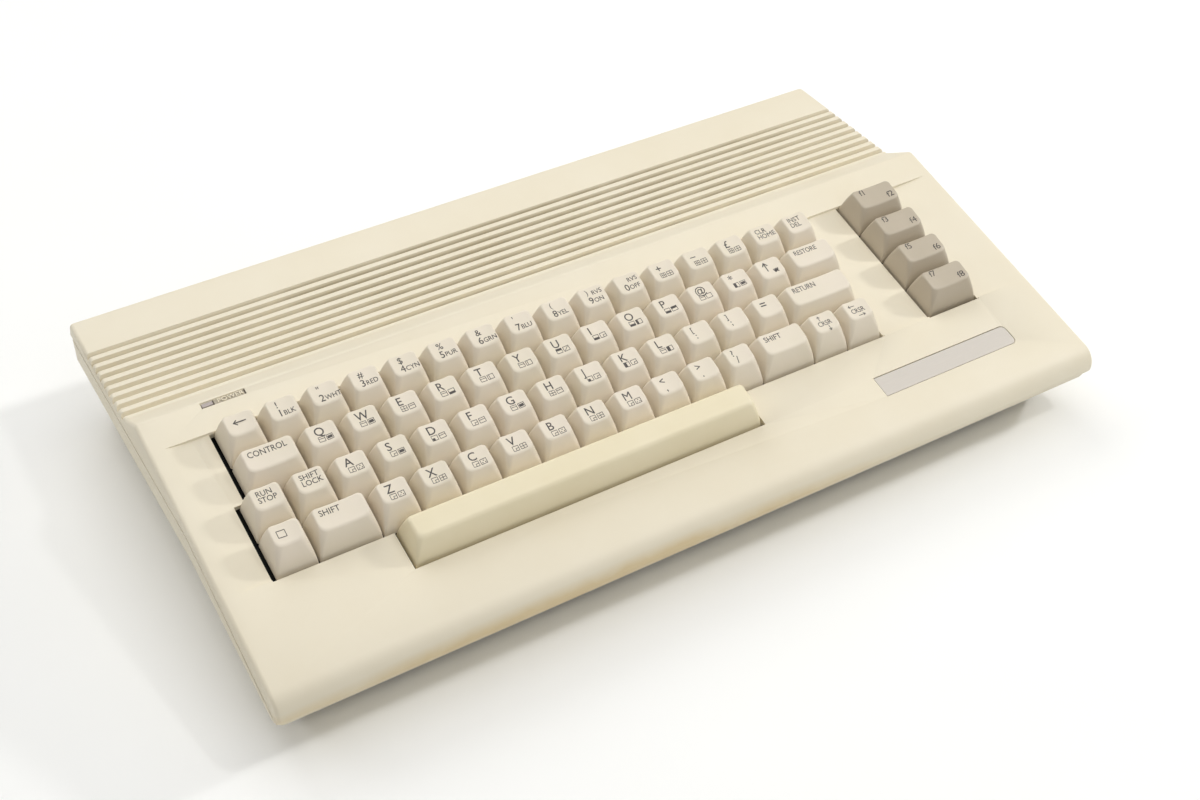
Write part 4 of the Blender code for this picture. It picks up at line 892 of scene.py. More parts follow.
def next_ring(shape: bmesh.types.BMesh, ring: Sequence[bmesh.types.BMVert]) -> list[bmesh.types.BMVert]:
    """Extrudes a closed ring of edges.

    Args:
        shape: The bmesh.
        ring: Its vertices, in order.

    Returns:
        The new ring, in the same order.
    """
    edges = [shape.edges.get((ring[number - 1], ring[number])) for number in range(len(ring))]
    out = bmesh.ops.extrude_edge_only(shape, edges=edges)
    fresh = {item for item in out["geom"] if isinstance(item, bmesh.types.BMVert)}
    after = []
    for vertex in ring:
        others = (edge.other_vert(vertex) for edge in vertex.link_edges)
        after.append(next(other for other in others if other in fresh))
    return after


@dataclass
class Mark:
    """One printed mark on a cap.

    Attributes:
        text: The letters, or the name of a drawn sign between angle brackets.
        x, y: Middle of the left end of its base line from the pitch square's middle, in millimetres.
        size: Height of a capital, in millimetres.
        spread: Width factor of the letters.
    """

    text: str
    x: float
    y: float
    size: float
    spread: float = 1.0

    def drawn(self) -> bool:
        """Tells whether the mark is a drawn sign, which a single angle bracket isn't."""
        return self.text.startswith("<") and len(self.text) > 1


@dataclass
class KeySpec:
    """A key: where it is and what is printed on it.

    Attributes:
        node: Its CAD node, empty for a key that is part of a row.
        left: Its left side in pitches from the left end of the rows.
        units: Its width in pitches.
        row: 0 for the front letter row up to 3 for the rear row, and -1 for the space bar.
        tone: The colour of its cap.
        marks: What is printed on it.
    """

    node: str
    left: float
    units: float
    row: int
    tone: Tone = Tone.LETTER
    marks: tuple[Mark, ...] = ()

    def place(self) -> Matrix:
        """Returns the matrix from the cap's own space, in metres, to the model's frame."""
        x = KEYS_LEFT + PITCH * (self.left + self.units / 2)
        y = PITCH * (self.row + 0.5)
        return keyboard_plane() @ Matrix.Translation(mm(x, y, 0))


def letter(text: str, first: str = "quarter", second: str = "bar") -> tuple[Mark, ...]:
    """Returns a letter with its two small box signs."""
    return (
        Mark(text, -3.3, 1.7, 3.8),
        Mark("<%s>" % first, -2.6, -1.3, 2.3),
        Mark("<%s>" % second, 0.9, -1.3, 2.3),
    )


def digit(text: str, shifted: str, word: str) -> tuple[Mark, ...]:
    """Returns a digit with the sign above it and a small word beside it."""
    # Brackets are taller than the other signs, so they are set smaller and higher
    above = Mark(shifted, -2.6, 3.4, 2.5) if shifted in "()" else Mark(shifted, -2.6, 2.8, 3.0)
    return (above, Mark(text, -3.0, -1.5, 3.3), Mark(word, -0.5, -1.3, 2.2, 0.92))


def words(
    *lines: str,
    x: float = -4.0,
    y: float = 3.1,
    size: float = 2.4,
    spread: float = 0.95,
    step: float = 3.0,
) -> tuple[Mark, ...]:
    """Returns words printed one under the other.

    Args:
        lines: The words, from the top.
        x, y: Left end of the first one's base line, in millimetres.
        size: Height of a capital in millimetres.
        spread: Width factor of the letters.
        step: Distance from line to line in millimetres.

    Returns:
        One mark for each line.
    """
    return tuple(Mark(line, x, y - step * number, size, spread) for number, line in enumerate(lines))


@dataclass
class Keyboard:
    """The key caps with their printing, and the plate, the contact board and the ribbon under them.

    Attributes:
        ink_height: How far the printing stands over a cap, in millimetres.
        ink_depth: How far it reaches into the cap, in millimetres.
        web_size: Sizes of a web between two caps of a row, in millimetres.
        web_height: Height of its middle over the keyboard plane, in millimetres.
        smooth_under: Angle in degrees under which a fold of a cap looks smooth.
        frame_radius, board_radius: Edge radii of the plate, and of the board and ribbon, in millimetres.
    """

    ink_height: float = 0.03
    ink_depth: float = 0.05
    web_size: Point = (2.1, 4.0, 0.8)
    web_height: float = -1.1
    smooth_under: float = 50.0
    frame_radius: float = 0.2
    board_radius: float = 0.1

    def single_keys(self) -> list[KeySpec]:
        """Lists the keys that are bodies of their own."""
        keys = [
            KeySpec("key_left_arrow", 0, 1, 3, marks=(Mark("<arrow_left>", -2.6, 1.0, 3.8),)),
            KeySpec("key_home", 14, 1, 3, marks=words("CLR", "HOME")),
            KeySpec("key_delete", 15, 1, 3, marks=words("INST", "DEL")),
            KeySpec("key_control", 0, 1.5, 2, marks=words("CONTROL", x=-8.8, y=2.8, size=2.7, spread=0.88)),
            KeySpec(
                "key_up_arrow",
                13.5,
                1,
                2,
                marks=(Mark("<arrow_up>", -3.2, 1.0, 4.4), Mark("π", 0.9, -0.9, 2.4, 1.3)),
            ),
            KeySpec("key_restore", 14.5, 1.5, 2, marks=words("RESTORE", x=-8.4, y=3.2, spread=0.88)),
            KeySpec("key_stop", -0.25, 1, 1, marks=words("RUN", "STOP")),
            KeySpec("key_shift_lock", 0.75, 1, 1, marks=words("SHIFT", "LOCK")),
            KeySpec("key_return", 13.75, 2, 1, marks=words("RETURN", x=-12.8, y=3.0, size=2.6, spread=0.88)),
            KeySpec("key_mode", -0.25, 1, 0, marks=(Mark("<square>", -3.6, 1.0, 3.0),)),
            KeySpec("key_shift_left", 0.75, 1.5, 0, marks=words("SHIFT", x=-8.6, y=3.0, size=2.6)),
            KeySpec("key_shift_right", 12.25, 1.5, 0, marks=words("SHIFT", x=-8.6, y=3.0, size=2.6)),
            KeySpec(
                "key_cursor_vertical",
                13.75,
                1,
                0,
                marks=(
                    Mark("<arrow_up>", -2.4, 3.4, 2.4),
                    Mark("CRSR", -3.8, 0.6, 2.3, 0.9),
                    Mark("<arrow_down>", 0.2, -2.4, 2.4),
                ),
            ),
            KeySpec(
                "key_cursor_horizontal",
                14.75,
                1,
                0,
                marks=(
                    Mark("<arrow_left>", -3.8, 3.2, 2.4),
                    Mark("CRSR", -3.8, 0.6, 2.3, 0.9),
                    Mark("<arrow_right>", -1.0, -2.2, 2.4),
                ),
            ),
            KeySpec("key_space_bar", 2.5, 9, -1, Tone.BAR),
        ]
        signs = (
            ("quarter", "dots"),
            ("quarter", "filled"),
            ("filled_quarter", "bar"),
            ("quarter", "bar"),
            ("bar", "filled"),
            ("cross", "bar"),
            ("filled_quarter", "quarter"),
            ("half", "quarter"),
            ("bar", "half"),
        )
        for number, name in enumerate("asdfghjkl"):
            marks = letter(name.upper(), *signs[number])
            keys.append(KeySpec("key_" + name, 1.75 + number, 1, 1, marks=marks))
        marks = (Mark("[", -3.2, 2.9, 2.6), Mark(":", -2.4, -0.6, 3.0))
        keys.append(KeySpec("key_colon", 10.75, 1, 1, marks=marks))
        marks = (Mark("]", -3.2, 2.9, 2.6), Mark(";", -2.4, -0.6, 3.0))
        keys.append(KeySpec("key_semicolon", 11.75, 1, 1, marks=marks))
        keys.append(KeySpec("key_equals", 12.75, 1, 1, marks=(Mark("=", -3.4, 1.4, 4.2),)))
        # From the front: f7, f5, f3 and f1, each with the next number at its lower right
        for row, low in enumerate((7, 5, 3, 1)):
            upper_left = Mark("f%d" % low, -7.4, 3.6, 3.0, 1.1)
            lower_right = Mark("f%d" % (low + 1), 5.6, -1.8, 3.0, 1.1)
            marks = (upper_left, lower_right)
            keys.append(KeySpec("key_f%d" % low, 17.25, 1.5, row, Tone.FUNCTION, marks))
        return keys

    def banks(self) -> dict[str, list[KeySpec]]:
        """Lists the caps of the three rows that are one body each."""
        numbers = (
            ("1", "!", "BLK"),
            ("2", '"', "WHT"),
            ("3", "#", "RED"),
            ("4", "$", "CYN"),
            ("5", "%", "PUR"),
            ("6", "&", "GRN"),
            ("7", "'", "BLU"),
            ("8", "(", "YEL"),
            ("9", ")", "ON"),
            ("0", "", "OFF"),
        )
        number_row = [
            KeySpec("", 1 + place, 1, 3, marks=digit(*entry)) for place, entry in enumerate(numbers)
        ]
        # The last two digits switch a mode on and off, whose short name stands at their upper right
        for key in number_row[8:]:
            key.marks += (Mark("RVS", 0.1, 2.7, 2.2, 0.92),)
        for place, text in enumerate(("+", "–", "£")):
            marks = (Mark(text, -3.3, 1.9, 3.8), *letter("", "grid", "cross")[1:])
            number_row.append(KeySpec("", 11 + place, 1, 3, marks=marks))
        upper = []
        upper_signs = (
            ("bar", "filled"),
            ("bar", "filled"),
            ("cross", "bar"),
            ("bar", "bottom"),
            ("bar", "column"),
            ("bar", "column"),
            ("top", "slant"),
            ("bottom", "quarter"),
            ("bottom", "left"),
            ("bottom", "top"),
            ("bar", "square"),
            ("half", "filled"),
        )
        for place, text in enumerate("QWERTYUIOP@*"):
            upper.append(KeySpec("", 1.5 + place, 1, 2, marks=letter(text, *upper_signs[place])))
        lower = []
        for place, text in enumerate("ZXCVBNM"):
            sign = ("quarter", "dots") if place % 2 == 0 else ("quarter", "cross")
            lower.append(KeySpec("", 2.25 + place, 1, 0, marks=letter(text, *sign)))
        for place, (shifted, text) in enumerate((("<", ","), (">", "."), ("?", "/"))):
            marks = (Mark(shifted, -3.2, 2.6, 3.2), Mark(text, -2.2, -1.0, 3.4))
            lower.append(KeySpec("", 9.25 + place, 1, 0, marks=marks))
        return {"keys_number_row": number_row, "keys_upper_row": upper, "keys_lower_row": lower}

    def shape_of(self, key: KeySpec) -> CapShape:
        """Returns the cap shape of a key."""
        if key.tone is Tone.BAR:
            return CapShape(
                units=key.units,
                side_inset=3.2,
                dish=0.15,
                edge=1.6,
                side_steps=16,
                corner_front=2.8,
                stem_offset=3.4 * PITCH,
            )
        if key.units > 1:
            return CapShape(units=key.units, side_steps=8)
        return CapShape(units=key.units, front_inset=6.7 if key.row == 0 else 6.2)

    def caps(self, name: str, keys: Sequence[KeySpec]) -> None:
        """Builds the caps of one body as one piece, and their printing as another.

        Args:
            name: The CAD node that they stand for.
            keys: The keys of that body.
        """
        shape = bmesh.new()
        for key in keys:
            self.shape_of(key).mesh(shape, key.place())
        self.webs(shape, keys)
        bmesh.ops.recalc_face_normals(shape, faces=shape.faces)
        mesh = as_mesh(name + "_caps", shape)
        shade_smooth(mesh, self.smooth_under)
        finish, slot = {
            Tone.LETTER: (KEY_PBT, "keycap_plastic"),
            Tone.FUNCTION: (FUNCTION_PBT, "function_key_plastic"),
            Tone.BAR: (BAR_ABS, "space_bar_plastic"),
        }[keys[0].tone]
        show(name + "_caps", mesh, finish, name + "_body", (name,))
        self.print_on(name, keys)

    def webs(self, shape: bmesh.types.BMesh, keys: Sequence[KeySpec]) -> None:
        """Adds the thin webs that join the skirts of a row.

        Args:
            shape: The bmesh of the row.
            keys: Its keys, from left to right.
        """
        for key in keys[1:]:
            seam = KEYS_LEFT + PITCH * key.left
            middle = Matrix.Translation(mm(seam, PITCH * (key.row + 0.5), self.web_height))
            stretch = Matrix.Diagonal((*mm(*self.web_size), 1))
            bmesh.ops.create_cube(shape, size=1.0, matrix=keyboard_plane() @ middle @ stretch)

    def print_on(self, name: str, keys: Sequence[KeySpec]) -> None:
        """Prints the marks of one body's keys as one thin piece.

        Args:
            name: The CAD node of the keys.
            keys: The keys.
        """
        body = name + "_body"
        printed = bmesh.new()
        for key in keys:
            cap = self.shape_of(key)
            for mark in key.marks:
                if mark.text:
                    self.print_mark(printed, mark, cap, key.place())
        if not printed.verts:
            printed.free()
            return
        name += "_legends"
        show(name, as_mesh(name, printed), LEGEND_INK, body)

    def print_mark(self, printed: bmesh.types.BMesh, mark: Mark, cap: CapShape, place: Matrix) -> None:
        """Adds one mark, laid on the dished top of its cap.

        Args:
            printed: The bmesh that gathers the printing.
            mark: What is printed.
            cap: The shape that it is printed on.
            place: From the cap's own space to the model's frame.
        """
        flat = SIGNS.outline(mark) if mark.drawn() else LETTERS.outline(mark)
        bmesh.ops.translate(flat, verts=flat.verts, vec=mm(mark.x, mark.y, 0))
        for vertex in flat.verts:
            x, y, lift = vertex.co / MM
            height = self.ink_height if lift > 0 else -self.ink_depth
            vertex.co.z = (cap.top(x, y) + height) * MM
        bmesh.ops.transform(flat, matrix=place, verts=flat.verts)
        join_into(printed, flat)

    def build(self, refiner: Refiner) -> None:
        """Builds the whole keyboard.

        Args:
            refiner: Makes the finer copies of the parts under the caps.
        """
        for key in self.single_keys():
            self.caps(key.node, [key])
        for name, keys in self.banks().items():
            self.caps(name, keys)
        refiner.copy("keyboard_frame", self.frame_radius, BLACK_ZINC, ROOT_BODY, "plated_steel")
        refiner.copy("keyboard_board", self.board_radius, BOARD_LAMINATE, ROOT_BODY, "circuit_board")
        refiner.copy("keyboard_ribbon", self.board_radius, RIBBON_PVC, ROOT_BODY, "ribbon_cable")


def join_into(target: bmesh.types.BMesh, source: bmesh.types.BMesh) -> None:
    """Adds all of one bmesh to another and frees it."""
    passing = as_mesh("passing", source)
    target.from_mesh(passing)
    bpy.data.meshes.remove(passing)


@dataclass
class Letters:
    """Printed letters, from the plain font that Blender carries.

    Attributes:
        capital: Height of a capital as a share of the font's size.
        weight: How far the outline moves out, as a share of the font's size.
        narrow: Letters whose inner corners close when the outline moves out.
        steps: Segments of a curve.
        merge: Distance in millimetres below which points are one.
    """

    capital: float = 0.682
    weight: float = 0.006
    narrow: str = "M4J"
    steps: int = 3
    merge: float = 0.0005

    def outline(self, mark: Mark, relief: float = 0.01) -> bmesh.types.BMesh:
        """Makes the letters of a mark as a thin closed solid at the origin.

        Args:
            mark: The words and their size.
            relief: Half the thickness, in millimetres.

        Returns:
            A bmesh in metres, with its front above zero and its back below.
        """
        curve = bpy.data.curves.new("letters", "FONT")
        curve.body = mark.text
        curve.size = mark.size / self.capital * MM
        curve.offset = 0.0 if set(mark.text) & set(self.narrow) else self.weight * curve.size
        curve.resolution_u = self.steps
        curve.extrude = relief * MM
        curve.fill_mode = "BOTH"
        holder = bpy.data.objects.new("letters", curve)
        mesh = bpy.data.meshes.new_from_object(holder)
        made = bmesh.new()
        made.from_mesh(mesh)
        bpy.data.objects.remove(holder)
        bpy.data.curves.remove(curve)
        bpy.data.meshes.remove(mesh)
        bmesh.ops.remove_doubles(made, verts=made.verts, dist=self.merge * MM)
        bmesh.ops.scale(made, verts=made.verts, vec=(mark.spread, 1, 1))
        return made


@dataclass
class Signs:
    """Small drawn signs: arrows, and boxes with a plain fill.

    Attributes:
        stroke, box_stroke: Line widths of an arrow and of a box, as shares of the sign's height.
        arrow_length, arrow_head: Lengths of a sideways arrow and of an arrow's head, as such shares.
        head_spread: Half width of an arrow's head as a share of the head's length.
        box_width: Width of a box as a share of its height.
        thickness: Thickness of a sign in millimetres.
    """

    stroke: float = 0.12
    arrow_length: float = 1.35
    arrow_head: float = 0.34
    box_width: float = 1.15
    box_stroke: float = 0.1
    head_spread: float = 0.8
    thickness: float = 0.02

    def bar(self, shape: bmesh.types.BMesh, start: FlatPoint, end: FlatPoint, width: float) -> None:
        """Adds a straight stroke.

        Args:
            shape: The bmesh that gets it.
            start, end: Its ends in millimetres.
            width: Its width in millimetres.
        """
        run = Vector((end[0] - start[0], end[1] - start[1], 0))
        middle = mm((start[0] + end[0]) / 2, (start[1] + end[1]) / 2, 0)
        turn = Matrix.Rotation(math.atan2(run.y, run.x), 4, "Z")
        size = Matrix.Diagonal(((run.length + width) * MM, width * MM, self.thickness * MM, 1))
        bmesh.ops.create_cube(shape, size=1.0, matrix=Matrix.Translation(middle) @ turn @ size)

    def strokes(self, mark: Mark) -> list[Stroke]:
        """Lists the strokes of a sign: start, end and width, in millimetres."""
        size = mark.size
        width = self.stroke * size
        head = self.arrow_head * size
        wing = head * self.head_spread
        name = mark.text.strip("<>")
        half = size / 2
        if name in ("arrow_left", "arrow_right"):
            length = size * self.arrow_length
            tip, tail = (0.0, length) if name == "arrow_left" else (length, 0.0)
            back = head if name == "arrow_left" else -head
            return [
                ((tip, half), (tail, half), width),
                ((tip, half), (tip + back, half + wing), width),
                ((tip, half), (tip + back, half - wing), width),
            ]
        if name in ("arrow_up", "arrow_down"):
            tip, tail = (size, 0.0) if name == "arrow_up" else (0.0, size)
            back = -head if name == "arrow_up" else head
            return [
                ((head, tip), (head, tail), width),
                ((head, tip), (head + wing, tip + back), width),
                ((head, tip), (head - wing, tip + back), width),
            ]
        return self.box(name, size)

    def box(self, name: str, size: float) -> list[Stroke]:
        """Lists the strokes of a small box and of the plain fill in it.

        Args:
            name: Name of the fill. One that isn't listed gives an empty box.
            size: Height of the box in millimetres.

        Returns:
            Start, end and width of each stroke, in millimetres.
        """
        line = self.box_stroke * size
        high = size
        wide = size * self.box_width
        drawn = [
            ((0.0, 0.0), (wide, 0.0), line),
            ((wide, 0.0), (wide, high), line),
            ((wide, high), (0.0, high), line),
            ((0.0, high), (0.0, 0.0), line),
        ]
        fills = {
            "quarter": [
                ((wide / 2, 0.0), (wide / 2, high / 2), line),
                ((wide / 2, high / 2), (wide, high / 2), line),
            ],
            "filled_quarter": [((wide * 0.3, high * 0.27), (wide * 0.3, high * 0.28), high * 0.5)],
            "bar": [((0.0, high * 0.62), (wide, high * 0.62), line)],
            "column": [((wide * 0.3, 0.0), (wide * 0.3, high), line)],
            "slant": [((wide * 0.15, high * 0.15), (wide * 0.85, high * 0.85), line)],
            "top": [((wide * 0.2, high * 0.75), (wide * 0.8, high * 0.75), high * 0.4)],
            "bottom": [((wide * 0.2, high * 0.25), (wide * 0.8, high * 0.25), high * 0.4)],
            "left": [((wide * 0.2, high * 0.2), (wide * 0.2, high * 0.8), high * 0.4)],
            "half": [((wide * 0.28, high * 0.28), (wide * 0.28, high * 0.72), wide * 0.45)],
            "cross": [((wide / 2, 0.0), (wide / 2, high), line), ((0.0, high / 2), (wide, high / 2), line)],
            "grid": [
                ((wide / 3, 0.0), (wide / 3, high), line),
                ((wide * 2 / 3, 0.0), (wide * 2 / 3, high), line),
                ((0.0, high / 2), (wide, high / 2), line),
            ],
            "filled": [((wide * 0.35, high * 0.5), (wide * 0.65, high * 0.5), high * 0.55)],
            "dots": [
                ((wide * 0.25, high * 0.3), (wide * 0.3, high * 0.3), line * 1.6),
                ((wide * 0.5, high * 0.7), (wide * 0.55, high * 0.7), line * 1.6),
                ((wide * 0.75, high * 0.3), (wide * 0.8, high * 0.3), line * 1.6),
            ],
        }
        return drawn + fills.get(name, [])

    def outline(self, mark: Mark) -> bmesh.types.BMesh:
        """Makes a sign as thin closed bars at the origin, in metres."""
        made = bmesh.new()
        for start, end, width in self.strokes(mark):
            self.bar(made, start, end, width)
        return made


LETTERS = Letters()
SIGNS = Signs()


@dataclass
class DeckFittings:
    """The bare name plate and the power lamp's window, with its raised word, strip and painted gap shade.

    Attributes:
        word: The word beside the lamp.
        word_place: Left end of its base line, in millimetres.
        word_height: Height of its capitals in millimetres.
        word_spread: Width factor of its letters.
        word_relief: Half the thickness of its letters in millimetres.
        plate_radius, lamp_radius: Edge radii in millimetres.
    """

    word: str = "POWER"
    word_place: Point = (-168.1, 19.8, 65.6)
    word_height: float = 2.0
    word_spread: float = 1.15
    word_relief: float = 0.3
    plate_radius: float = 0.12
    lamp_radius: float = 0.15

    def build(self, refiner: Refiner) -> None:
        """Builds the fittings of the deck.

        Args:
            refiner: Makes the finer copies.
        """
        refiner.copy("name_plate", self.plate_radius, PLATE_FOIL, ROOT_BODY, "name_plate_foil")
        refiner.copy("power_lamp", self.lamp_radius, LAMP_RESIN, ROOT_BODY, "lamp_lens")
        self.raised_word()
        self.strips()

    def on_deck(self, place: Point) -> Matrix:
        """Returns the matrix that lays a piece along the sloping deck, at a place in millimetres."""
        return Matrix.Translation(mm(*place)) @ Matrix.Rotation(math.radians(KEYBOARD_SLOPE), 4, "X")

    def raised_word(self) -> None:
        """Stands the word beside the lamp on the window's floor."""
        mark = Mark(self.word, 0, 0, self.word_height, self.word_spread)
        letters = LETTERS.outline(mark, self.word_relief)
        bmesh.ops.transform(letters, matrix=self.on_deck(self.word_place), verts=letters.verts)
        show("lamp_word", as_mesh("lamp_word", letters), CASE_ABS, ROOT_BODY)

    def strips(self) -> None:
        """Lays the thin tan strip on the window's floor, and dark blocks of painted shade in the gaps at its
        two ends.
        """
        # Name, finish, slot, middle and sizes in millimetres
        pieces = (
            ("lamp_strip", TAN_WINDOW_STRIP, "name_plate_foil", (-162.75, 20.65, 65.55), (13.5, 2.7, 0.1)),
            # Painted shade: dark blocks in the window's gaps beside the lamp and at its right end
            ("lamp_gap_painted_shade", GAP_PAINTED_SHADE, "case_plastic", (-169.8, 20.6, 65.7), (0.5, 2.4, 0.5)),
            ("lamp_end_painted_shade", GAP_PAINTED_SHADE, "case_plastic", (-155.8, 20.65, 65.7), (0.45, 2.7, 0.5)),
        )
        for name, finish, slot, place, size in pieces:
            shape = bmesh.new()
            stretch = Matrix.Diagonal((*mm(*size), 1))
            bmesh.ops.create_cube(shape, size=1.0, matrix=self.on_deck(place) @ stretch)
            show(name, as_mesh(name, shape), finish, ROOT_BODY)


@dataclass
class Sockets:
    """The sockets and the switch along the right side and the rear.

    Attributes:
        fine_radius: Edge radius of the small housings in millimetres.
        wide_radius: Edge radius of the rocker and of the two large boxes in millimetres.
    """

    fine_radius: float = 0.25
    wide_radius: float = 0.3

    def build(self, refiner: Refiner) -> None:
        """Dresses the sockets.

        Args:
            refiner: Makes the finer copies.
        """
        slot = "black_plastic"
        for name in ("joystick_port_1", "joystick_port_2"):
            refiner.copy(name, self.fine_radius, BLACK_PHENOLIC, ROOT_BODY, slot)
        refiner.copy("power_switch_housing", self.fine_radius, SWITCH_ABS, ROOT_BODY, slot)
        refiner.copy("power_rocker", self.wide_radius, SWITCH_ABS, "power_rocker_body", slot)
        for name in ("power_socket", "serial_socket", "av_socket"):
            refiner.copy(name, self.fine_radius, BLACK_PHENOLIC, ROOT_BODY, slot)
        refiner.copy("cartridge_port", self.wide_radius, BLACK_PHENOLIC, ROOT_BODY, slot)
        refiner.copy("tv_modulator", self.wide_radius, TIN_SHEET, ROOT_BODY, "plated_steel")


@dataclass
class Inside:
    """The main board, its shield and the wire under the space bar.

    Attributes:
        board_radius, shield_radius: Edge radii in millimetres.
    """

    board_radius: float = 0.1
    shield_radius: float = 0.2

    def build(self, refiner: Refiner) -> None:
        """Dresses the board, the shield and the wire, which keeps its CAD shape.

        Args:
            refiner: Makes the finer copies.
        """
        refiner.copy("main_board", self.board_radius, BOARD_LAMINATE, ROOT_BODY, "circuit_board")
        refiner.copy("board_shield", self.shield_radius, TIN_SHEET, ROOT_BODY, "plated_steel")
        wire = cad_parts["bar_stabiliser"]
        wire.material_slots[0].material = WARDROBE.get(ZINC_STEEL)


@dataclass
class Underside:
    """The feet and the screws.

    Attributes:
        foot_radius, screw_radius: Edge radii in millimetres.
    """

    foot_radius: float = 0.2
    screw_radius: float = 0.15

    def build(self, refiner: Refiner) -> None:
        """Dresses the feet and the screws.

        Args:
            refiner: Makes the finer copies.
        """
        for place in ("front_left", "front_right", "rear_left", "rear_right"):
            refiner.copy("foot_" + place, self.foot_radius, FOOT_RUBBER, ROOT_BODY, "rubber")
        for number in (1, 2, 3):
            screw = "case_screw_%d" % number
            refiner.copy(screw, self.screw_radius, ZINC_STEEL, ROOT_BODY, "plated_steel")


@dataclass
class Softbox:
    """A square lamp.

    Attributes:
        name: Its name.
        middle, aim: Where it is and the point that it faces, in millimetres.
        side: Its side in metres.
        power: Its strength in watts.
        colour: The colour of its light.
    """

    name: str
    middle: Point
    aim: Point
    side: float
    power: float
    colour: str = "#FFFFFF"

    def build(self) -> None:
        """Adds the lamp."""
        light = bpy.data.lights.new(self.name, "AREA")
        light.shape = "SQUARE"
        light.size = self.side
        light.energy = self.power
        light.color = linear(self.colour)[:3]
        lamp = bpy.data.objects.new(self.name, light)
        bpy.context.scene.collection.objects.link(lamp)
        lamp.location = mm(*self.middle)
        run = mm(*self.aim) - lamp.location
        lamp.rotation_euler = run.to_track_quat("-Z", "Y").to_euler()


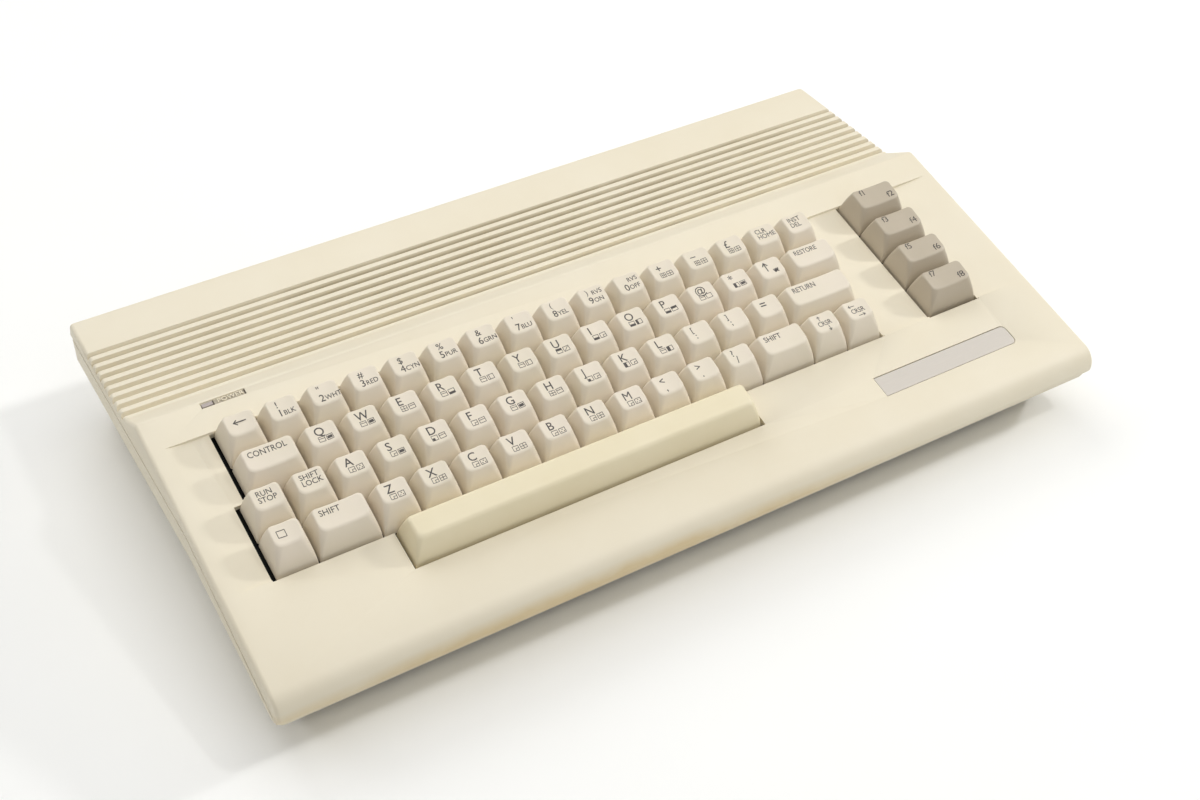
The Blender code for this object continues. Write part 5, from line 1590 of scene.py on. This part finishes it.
@dataclass
class Studio:
    """The white sweep, the soft lamps and the camera.

    Attributes:
        lens, sensor: Focal length and width of the sensor in millimetres.
        camera: Place of the camera in millimetres.
        tilt, turn: Its rotation about x and z, in degrees.
        shift: Shift of the frame.
        clip_end: Distance in metres up to which the camera sees.
        floor_side: Side of the floor in metres.
        floor_cloud: Size in millimetres of the faint clouds in the floor's tint.
        fade_from, fade_to: Distances in metres between which the floor goes over to plain white.
        sky: Strength of the plain surroundings.
        lamps: The lamps.
    """

    lens: float = 49.61
    sensor: float = 36.0
    camera: Point = (-308.36, -492.4, 523.8)
    tilt: float = 48.64
    turn: float = -29.95
    shift: tuple[float, float] = (0.0497, -0.0065)
    clip_end: float = 50.0
    floor_side: float = 8.0
    floor_cloud: float = 90.0
    fade_from: float = 0.6
    fade_to: float = 1.3
    sky: float = 0.2
    lamps: tuple[Softbox, ...] = (
        Softbox("overhead_softbox", (0, 0, 1800), (0, 0, 0), 1.6, 10.5),
        Softbox("rear_softbox", (0, 1300, 1300), (0, 0, 0), 1.2, 8.7),
        Softbox("right_softbox", (1300, 0, 1300), (0, 0, 0), 1.2, 3.0),
        Softbox("right_spot", (1500, -290, 890), (0, 0, 0), 0.14, 7.4),
        Softbox("right_front_spot", (650, -470, 1300), (0, 0, 0), 0.12, 2.5),
        Softbox("front_softbox", (0, -1300, 1300), (0, 0, 0), 1.2, 4.8),
        Softbox("rear_left_softbox", (-1200, 1000, 1000), (0, 0, 0), 0.8, 5.0),
        Softbox("left_softbox", (-700, 900, 1600), (0, 0, 0), 1.0, 1.3),
    )

    def add_camera(self) -> None:
        """Adds the camera and makes it the scene's."""
        data = bpy.data.cameras.new("camera")
        data.lens = self.lens
        data.sensor_width = self.sensor
        data.shift_x, data.shift_y = self.shift
        data.clip_end = self.clip_end
        camera = bpy.data.objects.new("camera", data)
        camera.location = mm(*self.camera)
        camera.rotation_euler = (math.radians(self.tilt), 0, math.radians(self.turn))
        bpy.context.scene.collection.objects.link(camera)
        bpy.context.scene.camera = camera

    def add_floor(self) -> None:
        """Adds the white table, which goes over to plain white for the camera away from the middle."""
        shape = bmesh.new()
        bmesh.ops.create_grid(shape, x_segments=8, y_segments=8, size=self.floor_side / 2)
        mesh = as_mesh("table_top", shape)
        floor = bpy.data.objects.new("table_top", mesh)
        bpy.context.scene.collection.objects.link(floor)
        made, tree = new_material("white_paper_sweep")
        place = add_node(tree, "TexCoord", {}).outputs["Object"]
        clouds = add_node(
            tree, "TexNoise", {"Scale": 1 / (self.floor_cloud * MM), "Detail": 2.0}, {"Vector": place}
        )
        tint = add_node(
            tree,
            "Mix",
            {"data_type": "RGBA", 6: linear("#FAFAF8"), 7: linear("#F8F8F5")},
            {0: clouds.outputs["Fac"]},
        )
        shader = add_node(tree, "BsdfDiffuse", {}, {"Color": tint.outputs[2]})
        reach = add_node(tree, "VectorMath", {"operation": "LENGTH"}, {"Vector": place})
        far = add_node(
            tree,
            "MapRange",
            {"From Min": self.fade_from, "From Max": self.fade_to, "To Min": 0.0, "To Max": 1.0},
            {"Value": reach.outputs["Value"]},
        )
        rays = add_node(tree, "LightPath", {})
        share = add_node(
            tree, "Math", {"operation": "MULTIPLY"}, {0: far.outputs[0], 1: rays.outputs["Is Camera Ray"]}
        )
        white = add_node(tree, "Emission", {"Color": linear("#FFFFFF"), "Strength": 1.0})
        sweep = add_node(
            tree,
            "MixShader",
            {},
            {0: share.outputs[0], 1: shader.outputs["BSDF"], 2: white.outputs["Emission"]},
        )
        add_node(tree, "OutputMaterial", {}, {"Surface": sweep.outputs[0]})
        mesh.materials.append(made)

    def add_sky(self) -> None:
        """Sets plain surroundings that look white to the camera."""
        world = bpy.data.worlds.new("studio")
        bpy.context.scene.world = world
        world.use_nodes = True
        tree = world.node_tree
        tree.nodes.clear()
        rays = add_node(tree, "LightPath", {})
        seen = add_node(
            tree,
            "Math",
            {"operation": "MAXIMUM"},
            {0: rays.outputs["Is Camera Ray"], 1: rays.outputs["Is Transmission Ray"]},
        )
        level = add_node(
            tree, "MapRange", {"To Min": self.sky, "To Max": 1.0}, {"Value": seen.outputs[0]}
        )
        light = add_node(tree, "Background", {"Color": linear("#FFFFFF")}, {"Strength": level.outputs[0]})
        add_node(tree, "OutputWorld", {}, {"Surface": light.outputs["Background"]})

    def build(self) -> None:
        """Sets the whole stage."""
        self.add_camera()
        self.add_floor()
        self.add_sky()
        for lamp in self.lamps:
            lamp.build()
        bpy.context.scene.view_settings.view_transform = "Standard"


def main() -> None:
    """Builds every sub-assembly in order."""
    refiner = Refiner()
    builders = (CaseShells(), Keyboard(), DeckFittings(), Sockets(), Inside(), Underside())
    for builder in builders:
        builder.build(refiner)
        LOG.info("%s done", type(builder).__name__)
    Studio().build()


if __name__ == "__main__":
    main()
